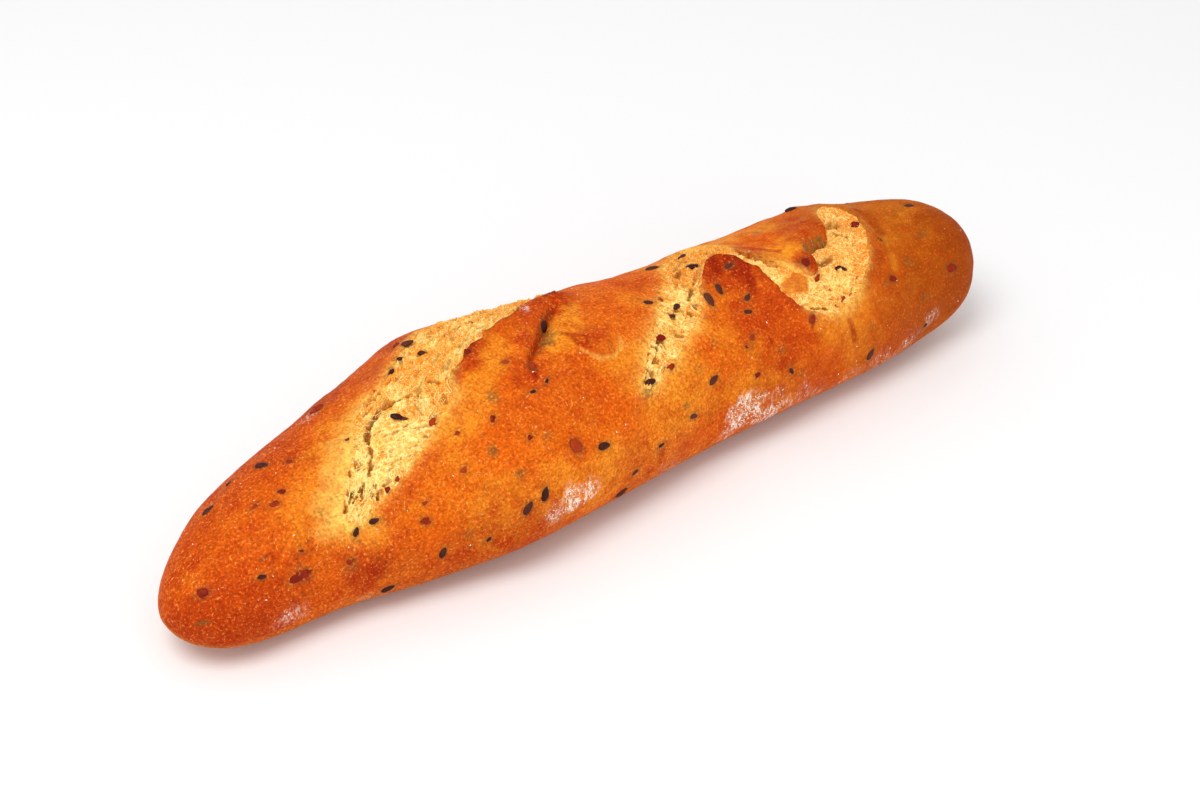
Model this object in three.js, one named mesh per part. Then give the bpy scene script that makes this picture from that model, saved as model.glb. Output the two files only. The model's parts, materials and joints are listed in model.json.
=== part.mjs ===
// A short baguette: one crusty loaf that tore open along slanting slashes as it baked.
//
// Millimetres, +Z up. The loaf lies along X on its flat bottom, z = 0, and the origin is under the middle
// of its length. Its surface is one skin over two numbers: x, and the turn about the loaf's own axis in
// degrees, 0 along the crest, positive down the -Y side, negative down the +Y side, 180 along the bottom.
import * as THREE from "three";

const LOAF_LENGTH = 320;
const ROUNDED_LEFT = 46; // how far the rounding of the -X end reaches
const ROUNDED_RIGHT = 60;

// The plain loaf at its stations along X. The end rounding closes the first and the last of them.
const STATIONS = [-160, -115, -80, -50, -15, 30, 80, 125, 160];
const HALF_WIDTHS = [25, 28, 37, 43, 40, 35.5, 34.5, 35, 35];
const CREST_HEIGHTS = [39, 44, 50, 58, 57.5, 53, 51, 49.5, 62];
const CENTRE_OFFSETS = [-9.5, -1, 0, 0.5, -0.5, -0.5, 0, -0.5, -10.5];

const WIDEST_AT = 0.43; // of the height
const TIP_AT = 0.42; // of the height, where both ends close
const UPPER_SQUARENESS = 2.1; // 2 is an ellipse
const LOWER_SQUARENESS = 2.8;
const BOTTOM_TRIM = 1.0; // cut off flat where the loaf lay on its tray

const MM_PER_DEGREE = 0.6; // of turn, about the mean radius

// Where the crust tore open, as [x, turn] round each opening. The second and the third slash tore into one
// another round the standing ear, so they share an outline.
const SLASH_WALL = 5; // the way in from the edge to the full depth
const SLASHES = [
  {
    depth: 1.8,
    outline: [
      [-104, 52], [-104, 44], [-101, 34], [-96, 22], [-91, 12], [-87, 2], [-82, -6], [-77, -10], [-68, -13], [-61, -18],
      [-54, -25], [-46, -33], [-34, -41], [-18, -46], [-4, -43], [4, -34], [3, -25], [-6, -19], [-17, -12], [-29, -6],
      [-40, 0], [-48, 5], [-55, 10], [-56, 17], [-63, 22], [-70, 28], [-78, 35], [-87, 43], [-94, 49], [-99, 54],
    ],
  },
  {
    depth: 2.3,
    outline: [
      [2, 52], [6, 43], [11, 33], [19, 21], [25, 12], [31, 3], [36, -2], [38, -8], [40, -15], [46, -23], [53, -33],
      [60, -31], [65, -23], [67, -13], [68, -3], [70.5, 5], [73.5, 11], [75.5, 16], [77.5, 21], [80, 26], [84, 29],
      [86.5, 26], [87.5, 19], [89.5, 13.5], [93.5, 12], [98, 11.5], [101.5, 6], [103.5, -1], [105.5, -8], [109, -16],
      [115, -23], [119, -15], [120, -4], [118, 7], [114, 19], [109, 31], [103, 41], [99, 47], [95, 53], [89, 58],
      [82, 58], [76, 53], [71, 45], [68, 36], [66.5, 26], [65.5, 17], [63.5, 9], [60, 1], [55, -2], [51, 0],
      [47.5, 6], [43, 12], [40.5, 20], [34, 29], [26, 37], [18.5, 44], [12, 50], [7, 55],
    ],
  },
];

// Crust lifted along a line of [x, turn, height], easing off over the reach. A negative height is a crease.
const RIDGES = [
  // the lip along the near side of the first slash, and the curled knob it ends in
  { reach: 13, line: [[-88, 44, 0.5], [-66, 23, 1.2], [-50, 5, 2.2], [-34, -4, 2.8], [-14, -13, 2.7], [-4, -17, 1.6]] },
  { reach: 4.5, line: [[-6, -15, 0.8], [-2, -16, 2], [1, -16, 1.6], [5, -17, 0.5]] },
  // its far side, where the crumb rose nearly flush
  { reach: 8, line: [[-93, 17, 0.3], [-76, -12, 1], [-54, -26, 1], [-46, -33, 0.4]] },
  // the ear that stands up between the second and the third slash
  {
    reach: 10,
    line: [
      [38, 18, 0.6], [45, 7, 2], [51, 0, 3.4], [57, -2, 4.2], [62, 4, 4], [65, 12, 3], [67, 25, 2.2], [71, 43, 1.6],
      [77, 53, 0.8],
    ],
  },
  // the tongue of crust that reaches in from the far side of the third slash, and the hollow along it
  { reach: 11, line: [[66, -8, 1.6], [73, 7, 2.4], [81, 24, 1.8], [89, 6, 2], [101, -8, 1.8], [113, -22, 1]] },
  { reach: 5.5, line: [[89, 14, -1.8], [93, 12.5, -3.6], [98, 12, -3.6], [102, 5, -1.6]] },
  // the right-hand rim of the third slash
  { reach: 10, line: [[119, -12, 1.2], [119, 3, 1.8], [112, 26, 1.8], [98, 48, 1.2]] },
  // the fold under the knob: a crease, and the roll of crust beside it
  {
    reach: 4,
    line: [[-5, -11, -1.6], [-10, -5, -3.2], [-15, 1, -3.6], [-21, 8, -3.2], [-27, 15, -1.4], [-30, 20, -0.3]],
  },
  { reach: 4.5, line: [[-9, -14, 0.6], [-17, -5, 1.6], [-25, 5, 1.6], [-32, 15, 0.9], [-36, 22, 0.2]] },
  // the crease that runs down the right-hand end
  { reach: 6, line: [[124, 6, -0.8], [121, 28, -1], [113, 52, -0.5]] },
  // the swellings and dips along the far shoulder
  {
    reach: 14,
    line: [
      [8, -44, 0], [18, -46, 0.7], [27, -46, -1.2], [43, -47, -1.1], [54, -48, -0.4], [64, -44, -0.8], [70, -42, -1.2],
      [78, -40, -0.8], [84, -40, 0.2], [95, -42, 1.1], [104, -37, 1], [108, -33, 1.9], [113, -32, 0.6], [118, -30, 0.4],
      [124, -33, -0.8], [130, -35, -1.5], [138, -31, -1], [146, -24, -0.2],
    ],
  },
];

// Blisters: [x, turn, radius, height].
const BLISTERS = [
  [-4, 20, 6.5, 1.1],
  [-52, 62, 5.5, 0.5],
  [76, 31, 6, 1.4],
];

// The slow unevenness of a hand-shaped loaf: [height, waves along the loaf, waves around it, start in degrees].
const WAVES = [
  [0.5, 3, 2, 20],
  [0.35, 6, 3, 130],
  [0.15, 11, 5, 250],
];

const TIP_REACH = 38; // the rings of points draw closer together over this last length
const TIP_RINGS = 8;

// Between the tips: where each stretch along X ends, and how many rings lie in it.
const BODY_STRETCHES = [[-108, 3], [122, 70]];

// Around each ring: the turn where each stretch ends, and how many points lie in it. The slashes lie in the
// closest stretch.
const FIRST_TURN = -106;
const TURN_STRETCHES = [[-50, 7], [62, 33], [106, 6], [360 + FIRST_TURN, 10]];

const CRUST_COLOUR = "#c9701f";
const CRUST_ROUGHNESS = 0.72;

const { degToRad, smoothstep } = THREE.MathUtils;

// Where a point of the skin lies in the flat plan of it, in millimetres.
const plan = (x, turn) => new THREE.Vector2(x, turn * MM_PER_DEGREE);

const throughStations = (values) => new THREE.CubicInterpolant(STATIONS, values, 1);
const halfWidth = throughStations(HALF_WIDTHS);
const crestHeight = throughStations(CREST_HEIGHTS);
const centreOffset = throughStations(CENTRE_OFFSETS);

const signedPower = (value, power) => Math.sign(value) * Math.abs(value) ** power;

// 1 along the body, falling to 0 at a tip as a quarter ellipse does.
function roundedEnd(fromTip, reach) {
  const left = 1 - Math.min(fromTip / reach, 1);
  return Math.sqrt(Math.max(0, 1 - left * left));
}

// A point of the plain loaf, before its flat bottom is cut.
function plainLoaf(x, turn) {
  const [width] = halfWidth.evaluate(x);
  const height = crestHeight.evaluate(x)[0] + BOTTOM_TRIM;
  const [offset] = centreOffset.evaluate(x);
  const closing =
    roundedEnd(LOAF_LENGTH / 2 + x, ROUNDED_LEFT) * roundedEnd(LOAF_LENGTH / 2 - x, ROUNDED_RIGHT);
  const angle = degToRad(turn);
  const squareness = Math.cos(angle) < 0 ? LOWER_SQUARENESS : UPPER_SQUARENESS;
  const across = -signedPower(Math.sin(angle), 2 / squareness);
  const upward = signedPower(Math.cos(angle), 2 / squareness);
  const widest = WIDEST_AT * height;
  const level = widest + upward * (upward > 0 ? height - widest : widest);
  const tip = TIP_AT * height;
  return new THREE.Vector3(x, offset + across * width * closing, tip + (level - tip) * closing - BOTTOM_TRIM);
}

// The outward normal of the plain loaf.
function plainNormal(x, turn) {
  const step = 0.5;
  const along = plainLoaf(x + step, turn).sub(plainLoaf(x - step, turn));
  const around = plainLoaf(x, turn + step).sub(plainLoaf(x, turn - step));
  return around.cross(along).normalize();
}

// An opening's outline as a closed ring of points in the plan.
function ringOf(outline) {
  const corners = outline.map(([x, turn]) => new THREE.Vector3(...plan(x, turn), 0));
  const curve = new THREE.CatmullRomCurve3(corners, true, "catmullrom", 0.5);
  return curve.getPoints(corners.length * 4).slice(0, -1).map((p) => new THREE.Vector2(p.x, p.y));
}

// How far p is from the line from a to b, and how far along the line its nearest point is, 0 to 1.
function nearestOnLine(p, a, b) {
  const run = b.clone().sub(a);
  const share = THREE.MathUtils.clamp(p.clone().sub(a).dot(run) / run.lengthSq(), 0, 1);
  return { share, distance: a.clone().addScaledVector(run, share).distanceTo(p) };
}

// How far p is inside the ring, negative outside.
function depthInside(p, ring) {
  let nearest = Infinity;
  let inside = false;
  ring.forEach((a, i) => {
    const b = ring[(i + 1) % ring.length];
    nearest = Math.min(nearest, nearestOnLine(p, a, b).distance);
    const crosses = a.y > p.y !== b.y > p.y;
    if (crosses && p.x < a.x + ((b.x - a.x) * (p.y - a.y)) / (b.y - a.y)) inside = !inside;
  });
  return inside ? nearest : -nearest;
}

const openings = SLASHES.map(({ depth, outline }) => ({ depth, ring: ringOf(outline) }));

// The opening whose edge is nearest to p, or the one p is in: how far inside it p is, and how deep it is.
function nearestOpening(p) {
  const found = openings.map(({ depth, ring }) => ({ inside: depthInside(p, ring), depth }));
  return found.reduce((best, one) => (one.inside > best.inside ? one : best));
}

// How far one ridge lifts the crust at p.
function ridgeLift(p, { reach, line }) {
  let best = { distance: Infinity, height: 0 };
  for (let i = 0; i + 1 < line.length; i++) {
    const [xa, turnA, heightA] = line[i];
    const [xb, turnB, heightB] = line[i + 1];
    const found = nearestOnLine(p, plan(xa, turnA), plan(xb, turnB));
    if (found.distance < best.distance) {
      best = { distance: found.distance, height: THREE.MathUtils.lerp(heightA, heightB, found.share) };
    }
  }
  const left = Math.max(0, 1 - best.distance / reach);
  return best.height * left * left;
}

// How far the skin stands out from the plain loaf, in millimetres.
function relief(x, turn) {
  const p = plan(x, turn);
  const { inside, depth } = nearestOpening(p);
  const crust = 1 - smoothstep(inside, 0, SLASH_WALL);
  const upperSide = smoothstep(Math.cos(degToRad(turn)), -0.6, -0.2);
  const awayFromTips = smoothstep(LOAF_LENGTH / 2 - Math.abs(x), 0, 30);

  let lift = 0;
  for (const ridge of RIDGES) {
    lift += ridgeLift(p, ridge);
  }
  lift = lift * crust - depth * (1 - crust);

  for (const [bx, bturn, radius, height] of BLISTERS) {
    const left = Math.max(0, 1 - p.distanceTo(plan(bx, bturn)) / radius);
    lift += height * smoothstep(left, 0, 0.8);
  }
  for (const [height, along, around, start] of WAVES) {
    const phase = along * Math.PI * (x / LOAF_LENGTH) * 2 + around * degToRad(turn) + degToRad(start);
    lift += height * Math.sin(phase) * awayFromTips;
  }
  return lift * upperSide;
}

// A point of the finished skin.
function loafSkin(x, turn) {
  const bare = plainLoaf(x, turn).addScaledVector(plainNormal(x, turn), relief(x, turn));
  bare.z = Math.max(bare.z, 0);
  return bare;
}

// Evenly spaced numbers from the start through every stretch, without the last one's end.
function spread(start, stretches) {
  const numbers = [];
  let from = start;
  for (const [end, count] of stretches) {
    for (let i = 0; i < count; i++) {
      numbers.push(from + ((end - from) * i) / count);
    }
    from = end;
  }
  return numbers;
}

// The rings' places along the loaf, closer together towards the tips.
function ringPlaces() {
  const half = LOAF_LENGTH / 2;
  const places = spread(TIP_REACH - half, BODY_STRETCHES);
  for (let i = 1; i <= TIP_RINGS; i++) {
    const fromTip = TIP_REACH * (1 - Math.cos((i / TIP_RINGS) * (Math.PI / 2)));
    if (i < TIP_RINGS) places.push(fromTip - half);
    places.push(half - fromTip);
  }
  return places.sort((a, b) => a - b);
}

function loafGeometry() {
  const places = ringPlaces();
  const turns = spread(FIRST_TURN, TURN_STRETCHES);
  const around = turns.length;
  const half = LOAF_LENGTH / 2;
  const points = [plainLoaf(-half, 0), plainLoaf(half, 0)];
  for (const x of places) {
    for (const turn of turns) {
      points.push(loafSkin(x, turn));
    }
  }

  const at = (ring, i) => 2 + ring * around + (i % around);
  const index = [];
  for (let i = 0; i < around; i++) {
    index.push(0, at(0, i + 1), at(0, i));
    index.push(1, at(places.length - 1, i), at(places.length - 1, i + 1));
    for (let ring = 0; ring + 1 < places.length; ring++) {
      const [a, b, c, d] = [at(ring, i), at(ring + 1, i), at(ring + 1, i + 1), at(ring, i + 1)];
      const alongEdge = points[a].distanceTo(points[c]) < points[b].distanceTo(points[d]);
      index.push(...(alongEdge ? [a, c, b, a, d, c] : [a, d, b, b, d, c]));
    }
  }
  const geometry = new THREE.BufferGeometry().setFromPoints(points);
  geometry.setIndex(index);
  geometry.computeVertexNormals();
  return geometry;
}

const crust = new THREE.MeshStandardMaterial({
  color: CRUST_COLOUR,
  roughness: CRUST_ROUGHNESS,
  metalness: 0,
});

const loaf = new THREE.Mesh(loafGeometry(), crust);
loaf.name = "loaf";

const baguette = new THREE.Group();
baguette.add(loaf);

export default baguette;
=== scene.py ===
import itertools
import json
import math

import bpy
import numpy as np
from mathutils import Matrix, Vector
from mathutils.bvhtree import BVHTree

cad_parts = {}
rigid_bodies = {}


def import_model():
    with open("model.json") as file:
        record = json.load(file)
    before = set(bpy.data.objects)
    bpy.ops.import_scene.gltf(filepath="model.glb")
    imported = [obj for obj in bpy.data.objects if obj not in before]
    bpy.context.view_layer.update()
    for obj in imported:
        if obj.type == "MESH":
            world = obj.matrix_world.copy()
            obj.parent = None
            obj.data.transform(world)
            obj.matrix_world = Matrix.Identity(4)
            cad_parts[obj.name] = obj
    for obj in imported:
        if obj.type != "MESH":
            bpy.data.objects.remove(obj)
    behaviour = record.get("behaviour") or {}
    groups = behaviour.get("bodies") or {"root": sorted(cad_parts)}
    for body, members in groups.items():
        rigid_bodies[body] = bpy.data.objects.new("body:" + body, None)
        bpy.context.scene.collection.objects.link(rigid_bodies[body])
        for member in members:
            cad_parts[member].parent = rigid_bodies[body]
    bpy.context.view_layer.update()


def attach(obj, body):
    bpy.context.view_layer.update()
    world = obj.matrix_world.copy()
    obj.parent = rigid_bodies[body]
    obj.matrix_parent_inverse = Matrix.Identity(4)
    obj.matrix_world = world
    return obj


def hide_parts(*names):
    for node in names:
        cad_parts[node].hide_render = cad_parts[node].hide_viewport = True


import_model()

bl_info = {
    "name": "Seeded baguette",
    "version": (1, 0, 0),
    "blender": (4, 5, 0),
    "location": "3D View > Sidebar > Baguette",
    "description": "Makes a short seeded baguette with three torn slashes, and the stage it lies on",
    "category": "Add Mesh",
}

BODY = "root"
MM = 0.001

# The loaf's own sizes, in millimetres and degrees. A place on the skin is its x along the loaf and its turn
# about the loaf's axis: 0 along the crest, positive down the -Y side, negative down the +Y side.

LOAF_LENGTH = 320.0
ROUNDED_LEFT = 46.0
ROUNDED_RIGHT = 60.0
STATIONS = (-160, -115, -80, -50, -15, 30, 80, 125, 160)
HALF_WIDTHS = (25, 28, 37, 43, 40, 35.5, 34.5, 35, 35)
CREST_HEIGHTS = (39, 44, 50, 58, 57.5, 53, 51, 49.5, 62)
CENTRE_OFFSETS = (-9.5, -1, 0, 0.5, -0.5, -0.5, 0, -0.5, -10.5)
WIDEST_AT = 0.43
TIP_AT = 0.42
UPPER_SQUARENESS = 2.1
LOWER_SQUARENESS = 2.8
BOTTOM_TRIM = 1.0
MM_PER_DEGREE = 0.6

# Round each opening: x, turn, the rim's lift, how far the rim leans over the opening, how far the crumb
# starts below the rim, and how pale the crust beside it stayed.
SLASHES = {
    "long": (
        (-104, 52, 0.0, 0.0, 0.1, 0.9), (-104, 44, 0.0, 0.0, 0.1, 0.9), (-101, 34, 0.0, 0.0, 0.1, 0.9),
        (-96, 22, 0.0, 0.0, 0.1, 0.8), (-91, 12, 0.0, 0.0, 0.1, 0.8), (-87, 2, 0.0, 0.0, 0.1, 0.7),
        (-82, -6, 0.1, 0.0, 0.2, 0.6), (-77, -10, 0.2, 0.1, 0.3, 0.5), (-68, -13, 0.3, 0.2, 0.5, 0.3),
        (-61, -18, 0.3, 0.2, 0.5, 0.3), (-54, -25, 0.3, 0.1, 0.6, 0.3), (-46, -33, 0.1, 0.0, 0.3, 0.3),
        (-34, -41, 0.0, 0.0, 0.2, 0.4), (-18, -46, 0.0, 0.0, 0.2, 0.5), (-4, -43, 0.0, 0.0, 0.3, 0.4),
        (4, -34, 0.2, 0.1, 0.8, 0.2), (3, -25, 0.7, 0.4, 2.2, 0.0), (-6, -19, 0.8, 0.8, 2.8, 0.0),
        (-17, -12, 0.7, 1.0, 3.0, 0.0), (-29, -6, 0.6, 1.0, 2.8, 0.0), (-40, 0, 0.5, 0.8, 2.2, 0.0),
        (-48, 5, 0.4, 0.5, 1.4, 0.0), (-55, 10, 0.2, 0.2, 0.6, 0.3), (-56, 17, 0.1, 0.0, 0.3, 0.4),
        (-63, 22, 0.1, 0.0, 0.2, 0.4), (-70, 28, 0.0, 0.0, 0.1, 0.3), (-78, 35, 0.0, 0.0, 0.1, 0.25),
        (-87, 43, 0.0, 0.0, 0.1, 0.2), (-94, 49, 0.0, 0.0, 0.1, 0.3), (-99, 54, 0.0, 0.0, 0.1, 0.9),
    ),
    "forked": (
        (2, 52, 0.0, 0.0, 0.1, 0.5), (6, 43, 0.0, 0.0, 0.2, 0.6), (11, 33, 0.0, 0.0, 0.2, 0.6),
        (19, 21, 0.0, 0.0, 0.2, 0.5), (25, 12, 0.1, 0.0, 0.3, 0.4), (31, 3, 0.0, 0.0, 0.2, 0.5),
        (36, -2, 0.0, 0.0, 0.2, 0.4), (38, -8, 0.0, 0.0, 0.2, 0.4), (40, -15, 0.1, 0.0, 0.3, 0.4),
        (46, -23, 0.1, 0.0, 0.4, 0.4), (53, -33, 0.2, 0.1, 0.5, 0.3), (60, -31, 0.2, 0.1, 0.3, 0.6),
        (65, -23, 0.2, 0.1, 0.3, 0.5), (67, -13, 0.3, 0.4, 0.4, 0.35), (68, -3, 0.5, 1.0, 0.7, 0.1),
        (70.5, 5, 0.7, 1.4, 0.9, 0.1), (73.5, 11, 0.6, 1.2, 0.9, 0.1), (75.5, 16, 0.3, 0.3, 0.6, 0.4),
        (77.5, 21, 0.2, 0.1, 0.4, 0.5), (80, 26, 0.2, 0.2, 0.8, 0.4), (84, 29, 0.4, 0.4, 1.4, 0.0),
        (86.5, 26, 0.5, 0.6, 1.8, 0.0), (87.5, 19, 0.5, 0.8, 1.8, 0.0), (89.5, 13.5, 0.3, 0.2, 1.0, 0.0),
        (93.5, 12, 0.0, 0.0, 0.4, 0.0), (98, 11.5, 0.0, 0.0, 0.4, 0.0), (101.5, 6, 0.2, 0.2, 1.4, 0.0),
        (103.5, -1, 0.4, 0.6, 2.4, 0.0), (105.5, -8, 0.3, 0.4, 2.0, 0.1), (109, -16, 0.2, 0.2, 1.2, 0.3),
        (115, -23, 0.2, 0.1, 0.8, 0.1), (119, -15, 0.3, 0.2, 1.0, 0.05), (120, -4, 0.4, 0.3, 1.4, 0.03),
        (118, 7, 0.3, 0.2, 1.2, 0.05), (114, 19, 0.2, 0.1, 0.8, 0.1), (109, 31, 0.2, 0.1, 0.6, 0.15),
        (103, 41, 0.2, 0.0, 0.6, 0.2), (99, 47, 0.1, 0.1, 0.6, 0.5), (95, 53, 0.2, 0.1, 0.8, 0.6),
        (89, 58, 0.2, 0.1, 0.6, 0.6), (82, 58, 0.2, 0.1, 0.8, 0.4), (76, 53, 0.4, 0.3, 1.6, 0.2),
        (71, 45, 0.5, 0.5, 2.2, 0.0), (68, 36, 0.6, 0.7, 3.0, 0.0), (66.5, 26, 0.6, 0.8, 3.6, 0.0),
        (65.5, 17, 0.6, 0.9, 4.4, 0.0), (63.5, 9, 0.5, 0.8, 5.0, 0.0), (60, 1, 0.4, 0.5, 5.2, 0.0),
        (55, -2, 0.4, 0.3, 5.2, 0.0), (51, 0, 0.4, 0.3, 4.0, 0.0), (47.5, 6, 0.3, 0.2, 2.0, 0.0),
        (43, 12, 0.2, 0.1, 1.0, 0.1), (40.5, 20, 0.1, 0.0, 0.5, 0.2), (34, 29, 0.1, 0.0, 0.3, 0.4),
        (26, 37, 0.0, 0.0, 0.2, 0.4), (18.5, 44, 0.0, 0.0, 0.2, 0.5), (12, 50, 0.0, 0.0, 0.2, 0.5),
        (7, 55, 0.0, 0.0, 0.1, 0.5),
    ),
}

# The crumb's level across the middle of each opening, against the plain loaf: x, turn, level.
CRUMB_LEVELS = {
    "long": (
        (-102, 50, 0.1), (-96, 34, 0.0), (-88, 22, 0.1), (-76, 20, 0.9), (-66, 14, 0.6), (-80, 0, -0.3),
        (-66, -6, 0.2), (-50, -12, 0.0), (-38, -20, 0.2), (-20, -28, -0.1), (-4, -30, -0.2),
    ),
    "forked": (
        (6, 50, 0.0), (16, 36, -0.1), (26, 25, -0.2), (36, 12, -0.3), (42, -6, 0.0), (52, -16, -0.4),
        (62, -8, -1.2), (67, 4, -1.0), (69.5, 11, -0.6), (72, 22, -0.4), (73, 44, -0.8), (80, 42, -0.9),
        (88, 48, -1.2), (91, 18, -1.6), (96, 17, -0.7), (98, 26, -0.9), (107, 14, -0.8), (106, 2, -1.0),
        (110, -10, -1.2), (115, -10, -0.8), (86, 36, -1.0),
    ),
}

# Which way the torn gluten is drawn: x, turn and the direction in the plan, in degrees from +X towards a
# growing turn.
FIBRE_WAYS = (
    (-104, 50, -62), (-98, 36, -58), (-92, 26, -50), (-88, 40, -66), (-82, 22, 15), (-76, 14, 22),
    (-72, 24, 30), (-84, 4, 25), (-76, -4, -15), (-64, 16, -75), (-60, 12, -60), (-64, -4, -20),
    (-50, -12, -32), (-36, -22, -32), (-20, -30, -34), (6, 48, -40), (18, 34, 50), (26, 22, 55),
    (34, 14, 60), (42, -4, -30), (54, -18, -20), (70, 10, 30), (76, 40, 40), (92, 30, 20), (106, 10, -30),
)

# Where the crumb is open with pores, and their painted shade is darker: x, turn, radius in millimetres,
# strength.
PORE_ZONES = (
    (-75, -9, 3.0, 1.0), (-67, -12, 3.0, 0.6), (-60, -15, 2.5, 0.6), (-79, -6, 3.0, 0.8),
    (-103, 42, 3.0, 1.0), (-99, 38, 3.0, 1.0), (-94, 40, 3.0, 1.0), (-97, 29, 2.5, 0.8),
    (-90, 41, 3.0, 0.8), (-64, 5, 3.5, 0.7), (-60, -2, 3.0, 0.5), (-68, 6, 3.0, 0.7), (-62, 16, 3.5, 0.8),
    (-58, 19, 2.5, 0.8), (-86, 12, 3.0, 0.9), (-94, 20, 2.5, 0.7), (-72, 25, 2.5, 0.5), (-83, 38, 2.5, 0.5),
    (-40, -26, 5.0, 0.4), (-28, -33, 5.0, 0.4), (-16, -22, 4.0, 0.4), (6, 46, 3.5, 0.9), (10, 39, 3.5, 1.0),
    (15, 33, 3.5, 1.0), (24, 33, 3.5, 0.8), (28, 20, 4.0, 0.9), (36, 19, 4.0, 0.9), (41, 8, 3.5, 0.7),
    (42, -8, 4.0, 0.8), (50, -20, 5.0, 0.6), (60, -20, 4.0, 0.5), (78, 51, 2.5, 0.8), (88, 55, 2.5, 0.8),
    (97, 48, 2.5, 0.9), (101, 38, 2.5, 0.7), (107, 9, 3.0, 0.5), (86, 41, 2.0, 1.0), (92, 33, 3.0, 0.4),
    (111, -8, 3.5, 0.6), (108, 22, 3.0, 0.3),
)

# Where the crumb is freshest and palest, and where it caught more heat: x, turn, radius, strength.
FRESH_ZONES = (
    (-101, 44, 6, 1.0), (-95, 34, 7, 1.0), (-89, 24, 7, 1.0), (-82, 22, 7, 1.0), (-78, 32, 6, 0.9),
    (-74, 20, 5, 0.9), (-86, 8, 4, 0.8), (-70, 24, 4, 0.6), (-70, 2, 4, 0.6), (-48, -14, 5, 0.4),
    (8, 44, 4, 0.9), (14, 35, 4, 0.9), (24, 22, 5, 0.9), (31, 12, 5, 0.7), (38, 12, 4, 0.5),
    (70, 26, 4, 0.9), (72, 14, 3, 0.9), (92, 40, 6, 0.5), (100, 22, 6, 0.6), (108, 8, 5, 0.5),
    (86, 46, 4, 0.4),
)
TOASTED_ZONES = (
    (-38, -24, 12, 0.3), (-56, -18, 7, 0.4), (-22, -32, 12, 0.5), (-10, -26, 7, 0.9), (-42, -30, 5, 0.9),
    (-66, -10, 5, 0.5), (-59, 13, 5, 1.0), (-63, 19, 4, 0.7), (-62, -5, 7, 0.8), (-53, -7, 7, 0.8),
    (-44, -12, 6, 0.6), (-75, -3, 5, 0.7), (-86, -1, 5, 0.7), (-50, 1, 4, 0.6), (-71, 12, 3, 0.5),
    (-83, 16, 3, 0.4), (-66, 0, 4, 0.4), (-96, 46, 4, 0.3), (44, -6, 8, 1.0), (50, -20, 9, 1.0),
    (62, -16, 8, 1.0), (47, 1, 4, 1.0), (38, 2, 4, 0.5), (12, 44, 4, 0.3), (78, 22, 5, 0.9),
    (106, 4, 7, 0.5), (90, 48, 6, 0.4), (98, 24, 8, 0.5), (114, 2, 5, 0.8), (70, 38, 4, 0.6),
    (86, 27, 4, 0.5), (105, 30, 6, 0.5), (117, 0, 3, 1.0), (114, 13, 3, 1.0), (110, 25, 3, 1.0),
    (117, -12, 3, 0.9), (103, 37, 3, 0.8), (34, 24, 4, 0.4), (30, 8, 4, 0.3), (24, 24, 10, 0.3),
    (40, -4, 9, 0.5), (66, -12, 5, 0.5), (100, 44, 5, 0.4),
)

# Crust lifted along a line of x, turn, height, easing off over the reach. A negative height is a crease.
RIDGES = (
    (13, ((-88, 44, 0.5), (-66, 23, 1.2), (-50, 5, 2.2), (-34, -4, 2.8), (-14, -13, 2.7), (-4, -17, 1.6))),
    (4.5, ((-6, -15, 0.8), (-2, -16, 2.0), (1, -16, 1.6), (5, -17, 0.5))),
    (8, ((-93, 17, 0.3), (-76, -12, 1.0), (-54, -26, 1.0), (-46, -33, 0.4))),
    (10, (
        (38, 18, 0.6), (45, 7, 2.0), (51, 0, 3.4), (57, -2, 4.2), (62, 4, 4.0), (65, 12, 3.0),
        (67, 25, 2.2), (71, 43, 1.6), (77, 53, 0.8),
    )),
    (11, ((66, -8, 1.6), (73, 7, 2.4), (81, 24, 1.8), (89, 6, 2.0), (101, -8, 1.8), (113, -22, 1.0))),
    (5.5, ((89, 14, -1.8), (93, 12.5, -3.6), (98, 12, -3.6), (102, 5, -1.6))),
    (10, ((119, -12, 1.2), (119, 3, 1.8), (112, 26, 1.8), (98, 48, 1.2))),
    (3.2, (
        (-5, -11, -1.6), (-10, -5, -3.2), (-15, 1, -3.6), (-21, 8, -3.2), (-27, 15, -1.4), (-30, 20, -0.3),
    )),
    (4.5, ((-9, -14, 0.6), (-17, -5, 1.6), (-25, 5, 1.6), (-32, 15, 0.9), (-36, 22, 0.2))),
    (6, ((124, 6, -0.8), (121, 28, -1.0), (113, 52, -0.5))),
    (14, (
        (8, -44, 0.0), (18, -46, 0.7), (27, -46, -1.2), (43, -47, -1.1), (54, -48, -0.4), (64, -44, -0.8),
        (70, -42, -1.2), (78, -40, -0.8), (84, -40, 0.2), (95, -42, 1.1), (104, -37, 1.0), (108, -33, 1.9),
        (113, -32, 0.6), (118, -30, 0.4), (124, -33, -0.8), (130, -35, -1.5), (138, -31, -1.0),
        (146, -24, -0.2),
    )),
)

# Thin lines on the crust: reach and points, a raised thread of skin or a hairline crease.
HAIRLINES = (
    (1.6, ((-28, 14, 0.3), (-30, 19, 1.1), (-31, 25, 0.8), (-32, 28, 0.1))),
    (1.5, ((-12, 9, 0.3), (-11, 13, 0.9), (-10, 19, 1.0), (-8, 17, 0.8), (-9, 13, 0.4))),
    (1.8, ((1, 12, 0.2), (3, 19, 0.6), (1, 27, 0.7), (-5, 31, 0.4))),
    (2.2, ((122, -6, 0.4), (125, 2, 0.6), (123, 12, 0.7), (122, 20, 0.5), (119, 32, 0.2))),
    (2.0, ((121, -2, -0.6), (121, 8, -0.9), (119, 18, -0.6))),
    (1.8, ((62, 12, -0.5), (61.5, 19, -0.8), (60, 28, -0.3))),
    (1.8, ((92, 64, -0.5), (90, 76, -0.3), (91, 84, 0.0))),
    (1.6, ((-60, 52, 0.4), (-63, 55, 0.5), (-64, 59, 0.4))),
)

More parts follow.
